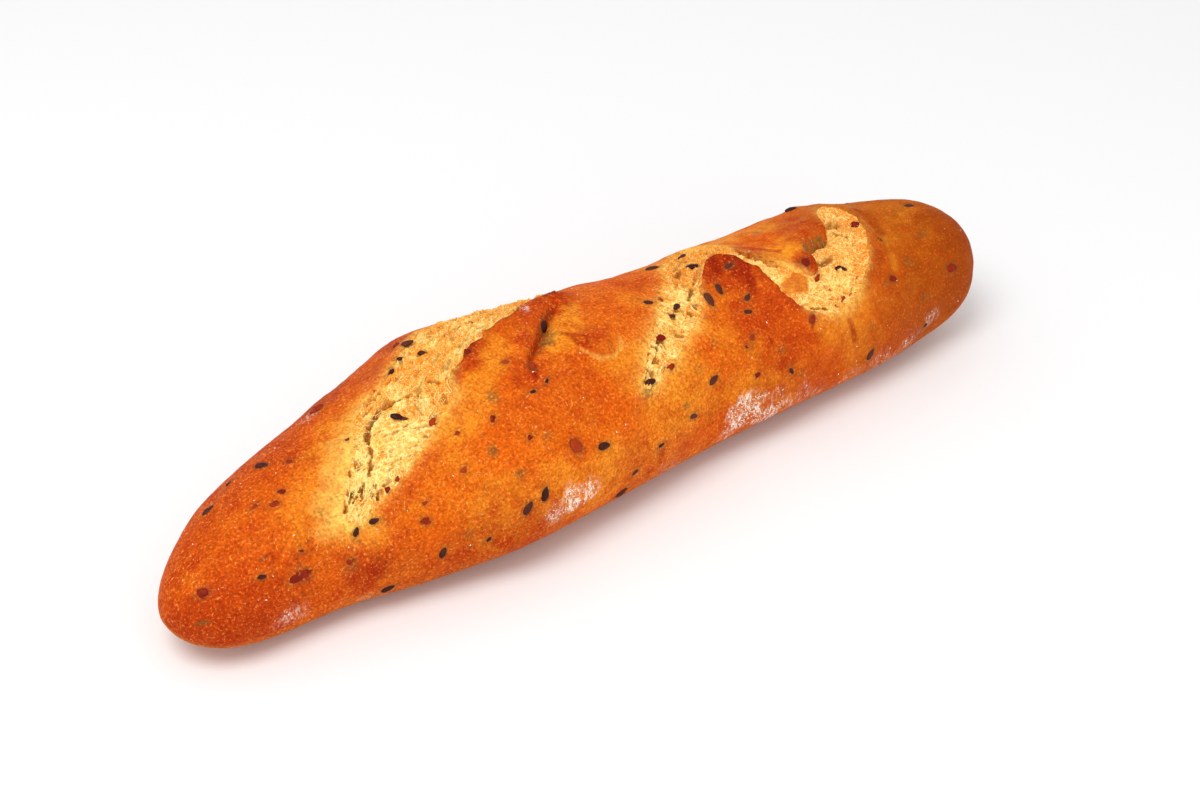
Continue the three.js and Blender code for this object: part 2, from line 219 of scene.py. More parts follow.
# Blisters of the crust and the crumb: x, turn, radius, height.
CRUST_BLISTERS = ((-4, 20, 6.5, 1.1), (-133, 53, 3.5, 0.5), (-52, 62, 5.5, 0.5))
CRUMB_BLISTERS = ((77, 31, 4.8, 1.2), (72.5, 30.5, 3.8, 0.8))

# The slow unevenness of a hand-shaped loaf: height, waves along it, waves around it, start in degrees.
WAVES = ((0.5, 3, 2, 20), (0.35, 6, 3, 130), (0.15, 11, 5, 250))

# Splits and holes in the crumb, darkened with painted shade: half width, depth and the points of the line, x
# and turn.
CRUMB_SPLITS = (
    (1.5, 2.4, ((-86, 12), (-84, 7), (-81, 3), (-77, 0), (-73, 0))),
    (0.8, 1.0, ((-73, 0), (-69, 2), (-66, 4))),
    (0.8, 0.9, ((-86, 13), (-87, 19), (-90, 26), (-92, 31))),
    (0.8, 1.0, ((-94, 33), (-96, 38), (-97, 42))),
    (0.9, 1.4, ((-92, 37), (-92, 40))),
    (0.7, 1.0, ((-92, 42), (-93, 45))),
    (0.6, 0.9, ((-98, 35), (-101, 41))),
    (0.6, 0.9, ((-95, 20), (-97, 27))),
    (0.8, 1.2, ((-60, 4), (-58, 7))),
    (0.9, 1.2, ((-55, -14), (-52, -14))),
    (0.7, 2.2, ((67.5, -2), (69.5, 5), (72.5, 11.5), (75.5, 16.5), (78.5, 20))),
    (2.8, 3.4, ((105, -4), (108, -1), (111, -2))),
    (2.2, 1.4, ((88, 21), (91, 24), (95, 23))),
    (0.7, 1.0, ((105, 5), (106.5, 9), (108.5, 14))),
    (0.9, 1.0, ((78, 50), (82, 53))),
    (0.5, 0.8, ((94, 50), (96, 46))),
    (0.5, 0.8, ((98, 44), (100, 40))),
    (0.8, 1.0, ((10, 42), (13, 37), (16, 32))),
    (1.0, 1.3, ((37, 14), (40, 10), (42, 7))),
    (0.9, 1.1, ((27, 22), (29, 18))),
    (1.1, 1.2, ((42, -6), (45, -9))),
    (0.5, 0.7, ((-39, -29), (-42, -28), (-45, -27))),
    (0.5, 0.7, ((-26, -32), (-22, -35), (-17, -38))),
    (0.5, 0.6, ((-16, -22), (-12, -25), (-8, -27))),
    (0.5, 0.5, ((-47, -22), (-40, -25), (-33, -28))),
    (0.5, 0.5, ((-44, -16), (-37, -19), (-29, -22))),
)

# What lies in and on the crust.

# The camera: its image is 1200 by 800, and a mark on the loaf is placed by its pixel in that image.
IMAGE_WIDTH = 1200
IMAGE_HEIGHT = 800
FOCAL_PIXELS = 2250.0
SENSOR_MM = 36.0
CAMERA_DISTANCE = 740.0
CAMERA_TURN = 36.25
CAMERA_ELEVATION = 37.0
CAMERA_TARGET = (1.8, -8.05, 25.0)
AXIS_HEIGHT = 25.0

# Dark linseed-like seeds: pixel x, pixel y, slope of the long side in degrees, length in millimetres.
DARK_SEEDS = (
    (262, 466, 0, 4.8), (229, 484, 50, 2.6), (208, 511, 45, 4.4), (374, 521, 20, 3.4), (356, 532, 70, 3.2),
    (262, 577, 10, 2.8), (397, 417, -10, 4.4), (404, 419, -4, 3.0), (408, 346, 20, 4.4),
    (401, 361, 10, 2.6), (421, 353, 0, 3.6), (543, 327, 72, 5.2), (547, 381, 60, 2.2), (533, 392, 20, 2.2),
    (604, 446, 15, 4.8), (545, 494, 80, 4.8), (528, 508, 60, 4.8), (621, 492, 35, 4.8), (635, 472, 40, 3.0),
    (489, 539, 45, 2.2), (443, 552, 70, 4.2), (652, 269, 15, 4.8), (682, 257, 45, 4.4), (692, 267, 15, 4.6),
    (648, 303, 0, 3.6), (677, 306, 45, 3.8), (672, 316, 10, 2.6), (709, 300, -58, 5.4),
    (719, 290, -65, 4.4), (729, 266, 30, 3.0), (747, 298, 60, 3.4), (748, 312, 0, 3.0), (650, 382, 20, 4.4),
    (713, 380, 45, 4.4), (693, 416, 5, 3.6), (791, 371, -50, 2.8), (661, 445, 30, 2.6), (870, 354, 60, 4.6),
    (925, 325, 40, 2.4), (838, 268, 25, 3.0), (844, 269, -20, 2.6), (791, 210, 15, 4.6),
    (388, 588, 25, 4.6), (909, 206, 10, 3.6), (391, 374, 60, 3.0),
)

# Toasted red-brown grain: the same four numbers.
RED_GRAINS = (
    (296, 578, 25, 4.4), (305, 573, 5, 4.2), (299, 571, 60, 3.0), (306, 578, -30, 2.6), (203, 593, 10, 4.0),
    (282, 492, -5, 2.9), (275, 504, 20, 3.0), (255, 507, 60, 2.2), (289, 462, 0, 2.2), (351, 561, 30, 2.8),
    (432, 423, 80, 3.0), (396, 346, 60, 3.4), (576, 446, -40, 5.2), (493, 419, 70, 2.6),
    (457, 433, 30, 2.0), (531, 437, 50, 2.2), (426, 521, -10, 3.6), (425, 503, 20, 1.8),
    (671, 367, 30, 2.8), (757, 375, 20, 2.4), (752, 338, 60, 2.4), (805, 263, 60, 3.8), (812, 319, 80, 3.2),
    (892, 279, 0, 2.8), (951, 268, 10, 4.4), (317, 410, 50, 5.4), (298, 566, 30, 1.8), (301, 551, 10, 1.8),
    (855, 225, -20, 4.0), (817, 279, 70, 3.6), (661, 338, 15, 3.4), (397, 480, 70, 2.0),
    (387, 490, 30, 2.0), (347, 440, 30, 1.6), (747, 347, 0, 1.6), (505, 362, 10, 2.2), (532, 367, -60, 3.0),
    (467, 352, 60, 2.6), (552, 292, 20, 2.6), (464, 470, 75, 2.2), (661, 300, 0, 2.0), (756, 398, 30, 1.6),
    (880, 240, -30, 2.2), (843, 300, 70, 2.6),
)

# Seeds just under the skin show as soft grey-green spots. The same colour paints shade in the crease by the
# knob and in the crevice under the third slash's tongue: x, turn, radius in millimetres, strength.
SUNKEN_SEEDS_AND_SHADE = (
    # The first eight spots, and the one at x -16, turn 6, are painted shade, not seeds.
    (90, 12, 3.0, 0.9), (94, 11, 3.2, 1.0), (98, 10, 3.0, 1.0), (-9, -7, 1.3, 0.6), (-13, -2, 1.8, 0.8),
    (-16, 3, 2.0, 0.9), (-19, 9, 2.4, 1.0), (-23, 13, 1.6, 0.6), (-153, 72, 2.2, 0.9), (-47, 26, 2.2, 0.8),
    (-56, 49, 2.2, 0.8), (-51, 66, 2.4, 0.7), (-38, 54, 2.0, 0.4), (16, 72, 1.8, 0.9), (59, 65, 2.2, 0.5),
    (125, 73, 2.0, 0.7), (123, 44, 2.6, 0.4), (135, 29, 2.6, 0.5), (84, -20, 2.0, 0.7), (3, 55, 2.4, 0.8),
    (3, 88, 2.0, 0.6), (25, 56, 2.4, 0.3), (65, 85, 2.0, 0.4), (-107, 80, 2.8, 0.5), (-70, 86, 2.2, 0.4),
    (-16, 6, 2.6, 0.9), (-110, 38, 2.2, 0.4), (-131, 44, 1.4, 0.6), (98, 74, 2.0, 0.3), (35, 44, 2.0, 0.3),
    (-30, 62, 2.0, 0.2), (110, 52, 2.2, 0.4), (-4, 62, 2.2, 0.2),
)

# Lines on the crust that browned or stayed golden, brown lines of painted shade in creases, and golden lines
# that are
# partly painted sheen: mask, half width, strength and the points, x and turn.
CRUST_LINES = (
    ("pale", 0.8, 0.35, ((-11, 22), (-8, 29), (-3, 31), (2, 28), (4, 22))),
    ("golden", 2.0, 0.9, ((-50, -2), (-42, -6), (-34, -10), (-26, -13), (-14, -18))),
    ("red", 2.4, 0.4, ((-93, 57), (-85, 50), (-77, 42), (-70, 35))),
    ("pale", 5.0, 0.35, ((-109, 50), (-107, 38), (-102, 26), (-97, 15), (-92, 5))),
    # Painted shade along the crease below the knob.
    ("brown", 0.9, 0.75, ((-5, -11), (-8, -8), (-13, -3), (-18, 3), (-22, 8), (-26, 13), (-28, 15))),
    ("golden", 3.0, 0.9, ((-1, -7), (-6, -1), (-12, 5), (-18, 12))),
    ("brown", 0.8, 0.9, ((-28, 15), (-30, 20), (-31, 26))),
    ("brown", 0.7, 0.8, ((-13, 8), (-11, 12), (-11, 17), (-9, 21))),
    ("brown", 0.6, 0.8, ((-9, 21), (-7, 16), (-9, 12), (-11, 11))),
    ("red", 2.4, 1.0, ((-42, 0), (-46, 3), (-52, 6), (-55, 9), (-58, 13))),
    ("brown", 0.9, 0.7, ((-41, -1), (-44, 1), (-46, 4))),
    ("brown", 0.7, 0.6, ((-51, 6), (-54, 9), (-56, 13))),
    # Painted shade along the ear's fold and along the crack to the right of the third slash.
    ("brown", 1.3, 0.8, ((62, 3), (63, 10), (62, 17), (60, 24))),
    ("brown", 1.5, 0.8, ((122, -6), (123, 0), (123, 5), (122, 11), (121, 18))),
    ("golden", 1.6, 1.0, ((119, 14), (120, 20), (120, 25), (119, 33), (117, 44))),
    ("brown", 0.8, 0.8, ((74, 53), (74, 56), (73, 60))),
    # Painted shade along a crease on the lower flank.
    ("brown", 1.2, 0.6, ((89, 64), (90, 72), (90, 80))),
    # These two golden lines on the far top are partly golden crust and partly painted sheen.
    ("golden", 1.8, 0.9, ((58, -34), (64, -28), (68, -16), (69, -6), (71, 0))),
    ("golden", 4.0, 0.8, ((66, -31), (76, -30), (87, -24), (92, -17), (100, -14))),
    ("red", 1.4, 0.9, ((69, -10), (73, -3), (77, 2), (80, 5))),
)

# Patches of deeper browning: x, turn, radius, strength.
BROWN_PATCHES = (
    (54, 2, 4, 1.0), (59, 4, 4, 1.0), (60, 10, 3, 0.9), (60, 17, 3, 0.5), (50, 7, 3, 0.6),
    (-158, 60, 16, 0.35), (-100, 86, 6, 0.6), (-106, 88, 4, 0.4), (154, 40, 26, 0.9), (148, 75, 22, 0.75),
    (130, 55, 18, 0.5), (112, 78, 16, 0.35), (-146, 88, 18, 0.4), (124, 90, 16, 0.4), (98, 98, 16, 0.35),
    (-42, 0, 4, 0.3), (-54, -34, 7, 0.4), (-68, -30, 6, 0.4), (-84, -50, 18, 0.4), (-60, 118, 30, 0.35),
    (60, 118, 40, 0.35), (139, 66, 4, 0.5), (-94, -42, 7, 0.4), (83, 23, 3.5, 0.7), (108, 44, 4, 0.2),
    (113, 50, 3, 0.5), (-3, -19, 4, 0.5), (-30, 20, 2.5, 0.6), (66, -22, 2.5, 0.5),
)

# Redder and more golden parts of the crust; some of the golden ones are painted light: x, turn, radius,
# strength.
RED_PATCHES = (
    (-158, 60, 28, 1.0), (-146, 84, 28, 1.0), (-140, 30, 20, 0.5), (-150, -20, 28, 0.7),
    (-120, -36, 30, 0.8), (-86, -56, 26, 0.6), (-50, -58, 20, 0.5), (-32, 24, 8, 0.8), (-24, 5, 5, 0.9),
    (-18, -5, 6, 0.8), (-10, -11, 5, 0.8), (-5, 20, 7, 0.6), (57, 10, 12, 1.0), (55, 36, 14, 0.9),
    (62, 60, 12, 0.7), (66, 40, 8, 0.8), (-30, 66, 6, 0.4), (-20, 40, 12, 0.4), (-130, 80, 26, 0.6),
    (-50, 110, 20, 0.6), (0, 112, 22, 0.6), (60, 110, 22, 0.3), (-100, 104, 26, 0.6), (-103, 87, 7, 1.0),
    (-104, 96, 6, 0.9), (112, 34, 4, 1.0), (108, 54, 6, 0.6), (107, 46, 8, 0.5), (120, 40, 12, 0.25),
    (85, 21, 5, 0.9), (92, 2, 7, 0.6), (98, -10, 10, 0.8), (130, 84, 30, 0.6), (-60, 14, 5, 0.6),
    (-46, 5, 4, 0.9), (-2, -16, 5, 1.0), (110, 70, 18, 0.3), (28, -8, 8, 0.4), (0, -20, 6, 0.9),
    (-40, 40, 9, 0.4), (140, 20, 22, 0.3), (70, -2, 5, 0.6), (-86, 50, 7, 0.3), (-70, -20, 4, 0.4),
    (-70, 100, 20, 0.5), (36, 96, 16, 0.1),
)
GOLDEN_PATCHES = (
    (-108, 20, 9, 0.4), (-110, 44, 9, 0.4), (-100, 62, 9, 0.6), (-66, 31, 6, 0.4), (-54, 24, 8, 0.6),
    (-84, 56, 7, 0.4), (-8, 4, 6, 0.8), (-14, 13, 5, 0.6), (2, 38, 10, 0.6), (20, 58, 12, 0.6),
    (10, 74, 13, 0.6), (30, 72, 12, 0.5), (-70, 62, 14, 0.2), (86, 68, 10, 0.8), (94, 78, 11, 0.5),
    (-96, 110, 18, 0.4), (36, 34, 5, 0.4), (-70, 92, 12, 0.2), (78, 5, 6, 1.0), (76, 12, 5, 0.8),
    (83, 8, 6, 1.0), (86, 0, 5, 0.5), (123, 24, 5, 0.6), (121, 34, 4, 0.5), (20, 2, 7, 0.3),
    # Those at x 40 to 90 and turns -30 to -36, on the far top, are partly golden crust and partly painted
    # sheen; those at x -60 to 0 and turns 84 to 94 are painted light on the shaded lower front flank.
    (60, -36, 9, 0.8), (-8, 32, 5, 0.3), (104, 52, 4, 0.3), (-80, -10, 6, 0.7), (-90, -6, 8, 0.6),
    (-98, 8, 9, 0.6), (74, -34, 10, 0.8), (90, -30, 9, 0.6), (40, -30, 8, 0.5), (-60, 84, 14, 0.7),
    (-40, 86, 14, 0.7), (-20, 90, 14, 0.7), (0, 94, 14, 0.6), (-60, 30, 8, 0.7), (-66, 40, 8, 0.3),
    (-48, 18, 6, 0.7), (54, 96, 14, 0.6), (42, 84, 12, 0.6), (58, 84, 10, 0.4), (92, 62, 8, 0.7),
    (100, 56, 7, 0.6), (80, 66, 8, 0.7), (133, 4, 9, 0.6), (127, 22, 8, 0.4), (121, 62, 9, 0.4),
    (136, 30, 8, 0.3), (110, 66, 10, 0.4), (129, -14, 10, 0.4), (142, -6, 9, 0.3), (136, 16, 7, 0.5),
    (132, 50, 8, 0.2), (112, -38, 9, 0.4), (148, 12, 6, 0.3), (-112, 30, 12, 0.5), (-115, 46, 10, 0.4),
    (40, 44, 8, 0.4), (50, 56, 8, 0.3), (-40, 9, 6, 0.7), (-34, 2, 5, 0.6),
)

# Where flour from the board still clings: x, turn, radius, strength.
FLOUR_PATCHES = (
    (-34, 90, 5, 0.85), (-27, 91, 4, 0.7), (-41, 94, 4, 0.5), (42, 88, 4, 1.0), (48, 90, 3, 0.9),
    (36, 92, 3, 0.8), (55, 94, 4, 0.35), (66, 98, 5, 0.2), (44, 94, 5, 1.0), (40, 101, 5, 1.0),
    (52, 106, 6, 0.8), (60, 104, 6, 0.35), (34, 108, 5, 0.4), (72, 110, 7, 0.25), (90, 112, 8, 0.2),
    (106, 108, 8, 0.25), (118, 104, 7, 0.3), (129, 94, 4, 0.4), (-128, 98, 6, 0.35), (-100, 116, 7, 0.15),
    (8, 116, 7, 0.25), (-92, -30, 3, 0.4), (-88, -76, 5, 0.3), (-26, -104, 9, 0.5), (44, -102, 9, 0.6),
    (56, -96, 6, 0.4), (100, -98, 8, 0.4), (-74, -108, 9, 0.5), (0, -114, 8, 0.5), (-16, -12, 2, 0.4),
)

# Where threads of gluten stretch over the crumb: x, turn, radius, how many, their direction in the plan in
# degrees and their usual length in millimetres.
STRAND_ZONES = (
    (-63, 18, 3.5, 16, -70, 4.5), (-59, 13, 3.5, 18, -55, 4.5), (-58, 17, 2.5, 8, 0, 3.5),
    (-66, 21, 2.5, 8, -60, 3.5), (-84, 5, 3.0, 8, 30, 3.5), (-78, 1, 3.0, 8, 10, 4.5),
    (-88, 12, 2.5, 8, 30, 3.0), (-92, 22, 2.5, 8, -50, 3.5), (-98, 34, 3.5, 14, -55, 4.0),
    (-94, 41, 3.0, 10, -65, 4.0), (-101, 43, 2.5, 8, -60, 3.5), (-80, 24, 7.0, 12, 10, 3.0),
    (-76, -7, 3.5, 8, 40, 2.5), (-72, 28, 3.5, 8, -30, 3.0), (-60, -4, 5.0, 6, -30, 3.0),
    (36, 14, 4.0, 10, 60, 3.0), (28, 24, 4.0, 8, 55, 2.6), (16, 36, 4.0, 8, 50, 2.4),
    (45, -6, 5.0, 6, -30, 3.0), (98, 30, 7.0, 5, 20, 2.5),
)

# Around the sides that the marks above leave bare: how many, along what part of the loaf, how far round the
# back, how far apart at least, and how long.
LOOSE_DARK_SEEDS = 36
LOOSE_RED_GRAINS = 26
LOOSE_X = (-145, 145)
LOOSE_TURNS = (44, 128)
LOOSE_GAP = 6.0
LOOSE_LENGTHS = (2.2, 5.0)

# Unevenness, as lumps of a height, a size and a seed each: of the torn rims in the plan, of the crust, and
# of the crumb. The wobbles break up the outlines of patches and lift nothing.
RAGGED_RIMS = ((0.55, 5.0, 40), (0.45, 1.9, 41), (0.3, 0.9, 42))
CRUST_LUMPS = ((0.16, 9.0, 1), (0.10, 4.2, 2), (0.06, 2.1, 3))
CRUST_WOBBLE = ((1.0, 5.0, 11), (0.6, 2.0, 12))
SOFT_WOBBLE = ((1.0, 14.0, 13), (0.5, 6.0, 14))
CRUMB_LUMPS = ((0.7, 6.5, 31), (0.45, 3.1, 32), (0.2, 1.4, 33))
CRUMB_WOBBLE = ((1.0, 4.0, 35), (0.5, 1.6, 36))

# The webs of gluten between the pores: how far they are bent, their size and their seed. Threads, cords and
# streaks are drawn out along the crumb's fibres: how far they are bent, their width, length and seed. Bends
# are lumps of a height, a size and a seed for each axis. A pore's width and length are shares of the distance
# between pores, and the small bubbles have a size, a share that they fill and a seed.
CRUMB_WEBS = ((0.8, 2.3, 64), (0.5, 1.2, 65))
CRUMB_FIBRES = ((0.5, 0.55, 2.6, 61), (0.5, 1.2, 4.5, 62), (0.7, 1.7, 9.0, 67))
CRUMB_BENDS = ((0.9, 4.0, 21), (0.9, 4.0, 22), (0.9, 4.0, 23))
PORE_SHARES = (0.42, 0.7)
SMALL_BUBBLES = (0.95, 0.62, 27)


def linear(hex_colour):
    """An sRGB hex colour as linear RGBA."""
    channels = [int(hex_colour[i : i + 2], 16) / 255 for i in (1, 3, 5)]
    return (*(c / 12.92 if c <= 0.04045 else ((c + 0.055) / 1.055) ** 2.4 for c in channels), 1.0)


def number(name, description, default, low=0.0, high=10.0, unit="NONE", subtype="NONE"):
    """A number that the sidebar shows."""
    return bpy.props.FloatProperty(
        name=name, description=description, default=default, min=low, max=high, unit=unit, subtype=subtype
    )


def tone(name, description, hex_colour):
    """A colour that the sidebar shows, with its default as sRGB hex."""
    colour = linear(hex_colour)
    return bpy.props.FloatVectorProperty(
        name=name, description=description, subtype="COLOR", size=4, min=0.0, max=1.0, default=colour
    )


class LoafSizes(bpy.types.PropertyGroup):
    """Sizes of the crust and the crumb, in millimetres."""

    skin_spacing: number("Skin spacing", "Distance between the points of the crust", 0.66, 0.6, 4.0)
    crumb_spacing: number("Crumb spacing", "Distance between the points of the crumb", 0.22, 0.2, 2.0)
    crust_grain: number("Crust grain", "Width of the crust's fine grain", 0.85, 0.3, 4.0)
    pore: number("Pore", "Distance between the crumb's larger pores", 3.4, 1.0, 9.0)
    thread: number("Thread", "Thickness of a thread of gluten", 0.2, 0.05, 1.0)


class SeedSizes(bpy.types.PropertyGroup):
    """Shapes of the seeds, and how thickly the flour lies."""

    width: number("Seed width", "Width of a dark seed over its length", 0.52, 0.2, 1.0, subtype="FACTOR")
    thickness: number(
        "Seed thickness", "Thickness of a dark seed over its length", 0.27, 0.1, 1.0, subtype="FACTOR"
    )
    showing: number(
        "Showing", "Share of a seed's thickness that stands out", 0.62, 0.1, 1.0, subtype="FACTOR"
    )
    flour_grains: number("Flour grains", "Grains to a square millimetre where flour lies thickest", 1.6)
    flecks: number("Flecks", "Flecks of dry skin to a square millimetre of bare crust", 0.004)


class BakeColours(bpy.types.PropertyGroup):
    """Colours of the baked loaf."""

    crust: tone("Crust", "The evenly baked crust", "#dc6006")
    # golden is also painted light on the lower front flank and partly painted sheen on the far top.
    golden: tone("Golden crust", "The lighter crust", "#ee8e1e")
    red: tone("Red crust", "The redder parts of the crust", "#bc4006")
    ochre: tone("Ochre crust", "The drier crust of the right-hand end", "#984e02")
    # brown also paints shade along creases.
    brown: tone("Brown crust", "The darkest crust, on the ears and the ends", "#961e00")
    underside: tone("Underside", "The paler, drier bottom", "#c06a20")
    # sunken_seed_and_shade is also painted shade in creases and around seeds.
    sunken_seed_and_shade: tone("Sunken seed", "The crust over a seed that lies just under it", "#6e5628")
    pale: tone("Pale crust", "The stretched crust beside a slash", "#fdc45a")
    crumb: tone("Crumb", "The torn crumb", "#fbc050")
    toasted: tone("Toasted crumb", "The crumb that caught the heat", "#ec8c1c")
    # thread is also painted highlight on the crumb's raised webs and on the rims of its blisters.
    thread: tone("Gluten thread", "The drawn-out threads of the crumb", "#ffe794")
    # pore is painted shade: it darkens the crumb's pores, splits and low hollows, and tints the middle of its
    # blisters.
    pore: tone("Pore", "The inside of the crumb's pores", "#a46018")
    curl: tone("Dried skin", "The curls of dried skin on the crust", "#f4ac64")
    flour: tone("Flour", "Flour left on the crust", "#fff6e6")
    dark_seed: tone("Dark seed", "Linseed and the like", "#38120c")
    dull_seed: tone("Dull seed", "The dullest of the dark seeds", "#5e2c1c")
    red_grain: tone("Red grain", "Toasted cracked grain", "#7a1604")
    light_grain: tone("Light grain", "The lightest of the cracked grain", "#a8380a")


class StageSettings(bpy.types.PropertyGroup):
    """Light and floor."""

    key_power: number("Key light", "Power of the key light", 7.0, 0.0, 500.0, unit="POWER")
    fill_power: number("Fill light", "Power of the low light from the front", 1.2, 0.0, 500.0, unit="POWER")
    sky: number("Sky", "Strength of the even white light", 0.76)
    floor: tone("Floor", "The floor's colour", "#f4f4f4")


# Shape of the loaf


def smoothstep(value, low, high):
    """0 below low and 1 above high, with an even curve between."""
    t = np.clip((value - low) / (high - low), 0.0, 1.0)
    return t * t * (3 - 2 * t)


def through_stations(values, x):
    """The cubic curve through the values at the stations."""
    at = np.asarray(STATIONS, float)
    values = np.asarray(values, float)
    slopes = np.diff(values) / np.diff(at)
    tangents = np.zeros_like(values)
    tangents[1:-1] = (slopes[1:] + slopes[:-1]) / 2
    i = np.clip(np.searchsorted(at, x, side="right") - 1, 0, len(at) - 2)
    width = at[i + 1] - at[i]
    t = (x - at[i]) / width
    return (
        values[i] * (2 * t**3 - 3 * t**2 + 1)
        + tangents[i] * width * (t**3 - 2 * t**2 + t)
        + values[i + 1] * (-2 * t**3 + 3 * t**2)
        + tangents[i + 1] * width * (t**3 - t**2)
    )


def rounded_end(from_tip, reach):
    """1 along the body, falling to 0 at a tip as a quarter ellipse does."""
    left = 1 - np.clip(from_tip / reach, 0, 1)
    return np.sqrt(np.clip(1 - left * left, 0, 1))


def plain_loaf(x, turn):
    """Points of the loaf without its slashes, in millimetres, before the flat bottom is cut."""
    width = through_stations(HALF_WIDTHS, x)
    height = through_stations(CREST_HEIGHTS, x) + BOTTOM_TRIM
    offset = through_stations(CENTRE_OFFSETS, x)
    half = LOAF_LENGTH / 2
    closing = rounded_end(half + x, ROUNDED_LEFT) * rounded_end(half - x, ROUNDED_RIGHT)
    angle = np.radians(turn)
    sine, cosine = np.sin(angle), np.cos(angle)
    power = 2 / np.where(cosine < 0, LOWER_SQUARENESS, UPPER_SQUARENESS)
    across = -np.sign(sine) * np.abs(sine) ** power
    upward = np.sign(cosine) * np.abs(cosine) ** power
    widest = WIDEST_AT * height
    level = widest + upward * np.where(upward > 0, height - widest, widest)
    tip = TIP_AT * height
    return np.stack([x, offset + across * width * closing, tip + (level - tip) * closing - BOTTOM_TRIM], -1)


def unit(vectors):
    """The same directions with a length of 1."""
    return vectors / np.maximum(np.linalg.norm(vectors, axis=-1, keepdims=True), 1e-12)


def skin_axes(x, turn):
    """Unit vectors along the loaf, around it and out of it, at places on the plain loaf."""
    step = 0.5
    half = LOAF_LENGTH / 2 - 0.01
    ahead, behind = np.clip(x + step, -half, half), np.clip(x - step, -half, half)
    along = unit(plain_loaf(ahead, turn) - plain_loaf(behind, turn))
    around = unit(plain_loaf(x, turn + step) - plain_loaf(x, turn - step))
    return along, around, unit(np.cross(around, along))


def plan(x, turn):
    """Places on the skin laid out flat, in millimetres."""
    return np.stack([np.asarray(x, float), np.asarray(turn, float) * MM_PER_DEGREE], -1)


# Noise

TABLE = 256


def scrambled(cells, table):
    """A table entry for each whole-number cell."""
    found = table[cells[:, 0] & (TABLE - 1)]
    found = table[(found + cells[:, 1]) & (TABLE - 1)]
    return table[(found + cells[:, 2]) & (TABLE - 1)]


def lumps(points, size, seed):
    """Smooth noise, about -1 to 1, with lumps of the size given."""
    rng = np.random.default_rng(seed)
    table = rng.permutation(TABLE)
    slopes = unit(rng.normal(size=(TABLE, 3)))
    scaled = points / size
    cell = np.floor(scaled).astype(np.int64)
    local = scaled - cell
    fade = local**3 * (local * (local * 6 - 15) + 10)
    total = np.zeros(len(points))
    for corner in itertools.product((0, 1), repeat=3):
        corner = np.array(corner)
        weight = np.where(corner, fade, 1 - fade).prod(1)
        total += weight * ((local - corner) * slopes[scrambled(cell + corner, table)]).sum(1)
    return total * 1.7


def lumpy(points, rows, more=0):
    """Lumps of several heights and sizes together; more is added to each seed."""
    return sum(height * lumps(points, size, seed + more) for height, size, seed in rows)


def bubbles(points, size, fill, seed):
    """Round bubbles, one to a cell of the size given, 1 at their middle and 0 outside them; fill is the
    largest radius over the size."""
    rng = np.random.default_rng(seed)
    table = rng.permutation(TABLE)
    middles = rng.uniform(0.15, 0.85, (TABLE, 3))
    radii = fill * rng.uniform(0.25, 1.0, TABLE) ** 1.5
    scaled = points / size
    cell = np.floor(scaled).astype(np.int64)
    local = scaled - cell
    deepest = np.zeros(len(points))
    for corner in itertools.product((-1, 0, 1), repeat=3):
        corner = np.array(corner)
        which = scrambled(cell + corner, table)
        distance = np.linalg.norm(local - corner - middles[which], axis=1)
        deepest = np.maximum(deepest, 1 - distance / radii[which])
    return deepest


# Lines, rings and patches in the plan


RING_PIECES = 7  # pieces of the curve from one given point of a ring to the next
RING_REACH = 22.0  # beyond this many millimetres an opening has no effect


def in_plan(rows):
    """Rows of x, turn and more, with the turn laid out in millimetres."""
    rows = np.array(rows, float)
    rows[:, 1] *= MM_PER_DEGREE
    return rows


def smooth_ring(rows):
    """A closed Catmull-Rom line through rows of numbers, the first two of them a place in the plan."""
    rows = in_plan(rows)
    before, after, beyond = np.roll(rows, 1, 0), np.roll(rows, -1, 0), np.roll(rows, -2, 0)
    t = (np.arange(RING_PIECES) / RING_PIECES)[None, :, None]
    a, b, c, d = (r[:, None, :] for r in (before, rows, after, beyond))
    curve = 0.5 * (2 * b + (c - a) * t + (2 * a - 5 * b + 4 * c - d) * t**2 + (3 * b - a - 3 * c + d) * t**3)
    curve = curve.reshape(-1, rows.shape[1])
    curve[:, 2:] = np.maximum(curve[:, 2:], 0)
    return curve


def torn_ring(rows, more):
    """A ring with the small raggedness of torn crust; more is added to its seeds."""
    ring = smooth_ring(rows)
    run = np.roll(ring[:, :2], -1, 0) - np.roll(ring[:, :2], 1, 0)
    out = unit(np.stack([run[:, 1], -run[:, 0]], -1))
    flat = np.column_stack([ring[:, :2], np.zeros(len(ring))])
    ring[:, :2] += out * lumpy(flat, RAGGED_RIMS, more)[:, None]
    return ring


def nearest_on_line(points, line, closed=False):
    """For each point: its distance from the line, the nearest place on it, and the line's other columns
    there."""
    starts = line if closed else line[:-1]
    ends = np.roll(line, -1, 0) if closed else line[1:]
    best = np.full(len(points), np.inf)
    found = np.zeros((len(points), line.shape[1]))
    for start, end in zip(starts, ends):
        run = end - start
        share = np.clip((points - start[:2]) @ run[:2] / max(run[:2] @ run[:2], 1e-9), 0, 1)
        place = start + share[:, None] * run
        distance = np.hypot(*(points - place[:, :2]).T)
        closer = distance < best
        best[closer] = distance[closer]
        found[closer] = place[closer]
    return best, found


def is_inside(points, ring):
    """Which points lie inside a closed ring."""
    inside = np.zeros(len(points), bool)
    for (ax, ay), (bx, by) in zip(ring[:, :2], np.roll(ring[:, :2], -1, 0)):
        if ay != by:
            crosses = (ay > points[:, 1]) != (by > points[:, 1])
            inside ^= crosses & (points[:, 0] < ax + (bx - ax) * (points[:, 1] - ay) / (by - ay))
    return inside


RINGS = {name: torn_ring(rows, i) for i, (name, rows) in enumerate(SLASHES.items())}


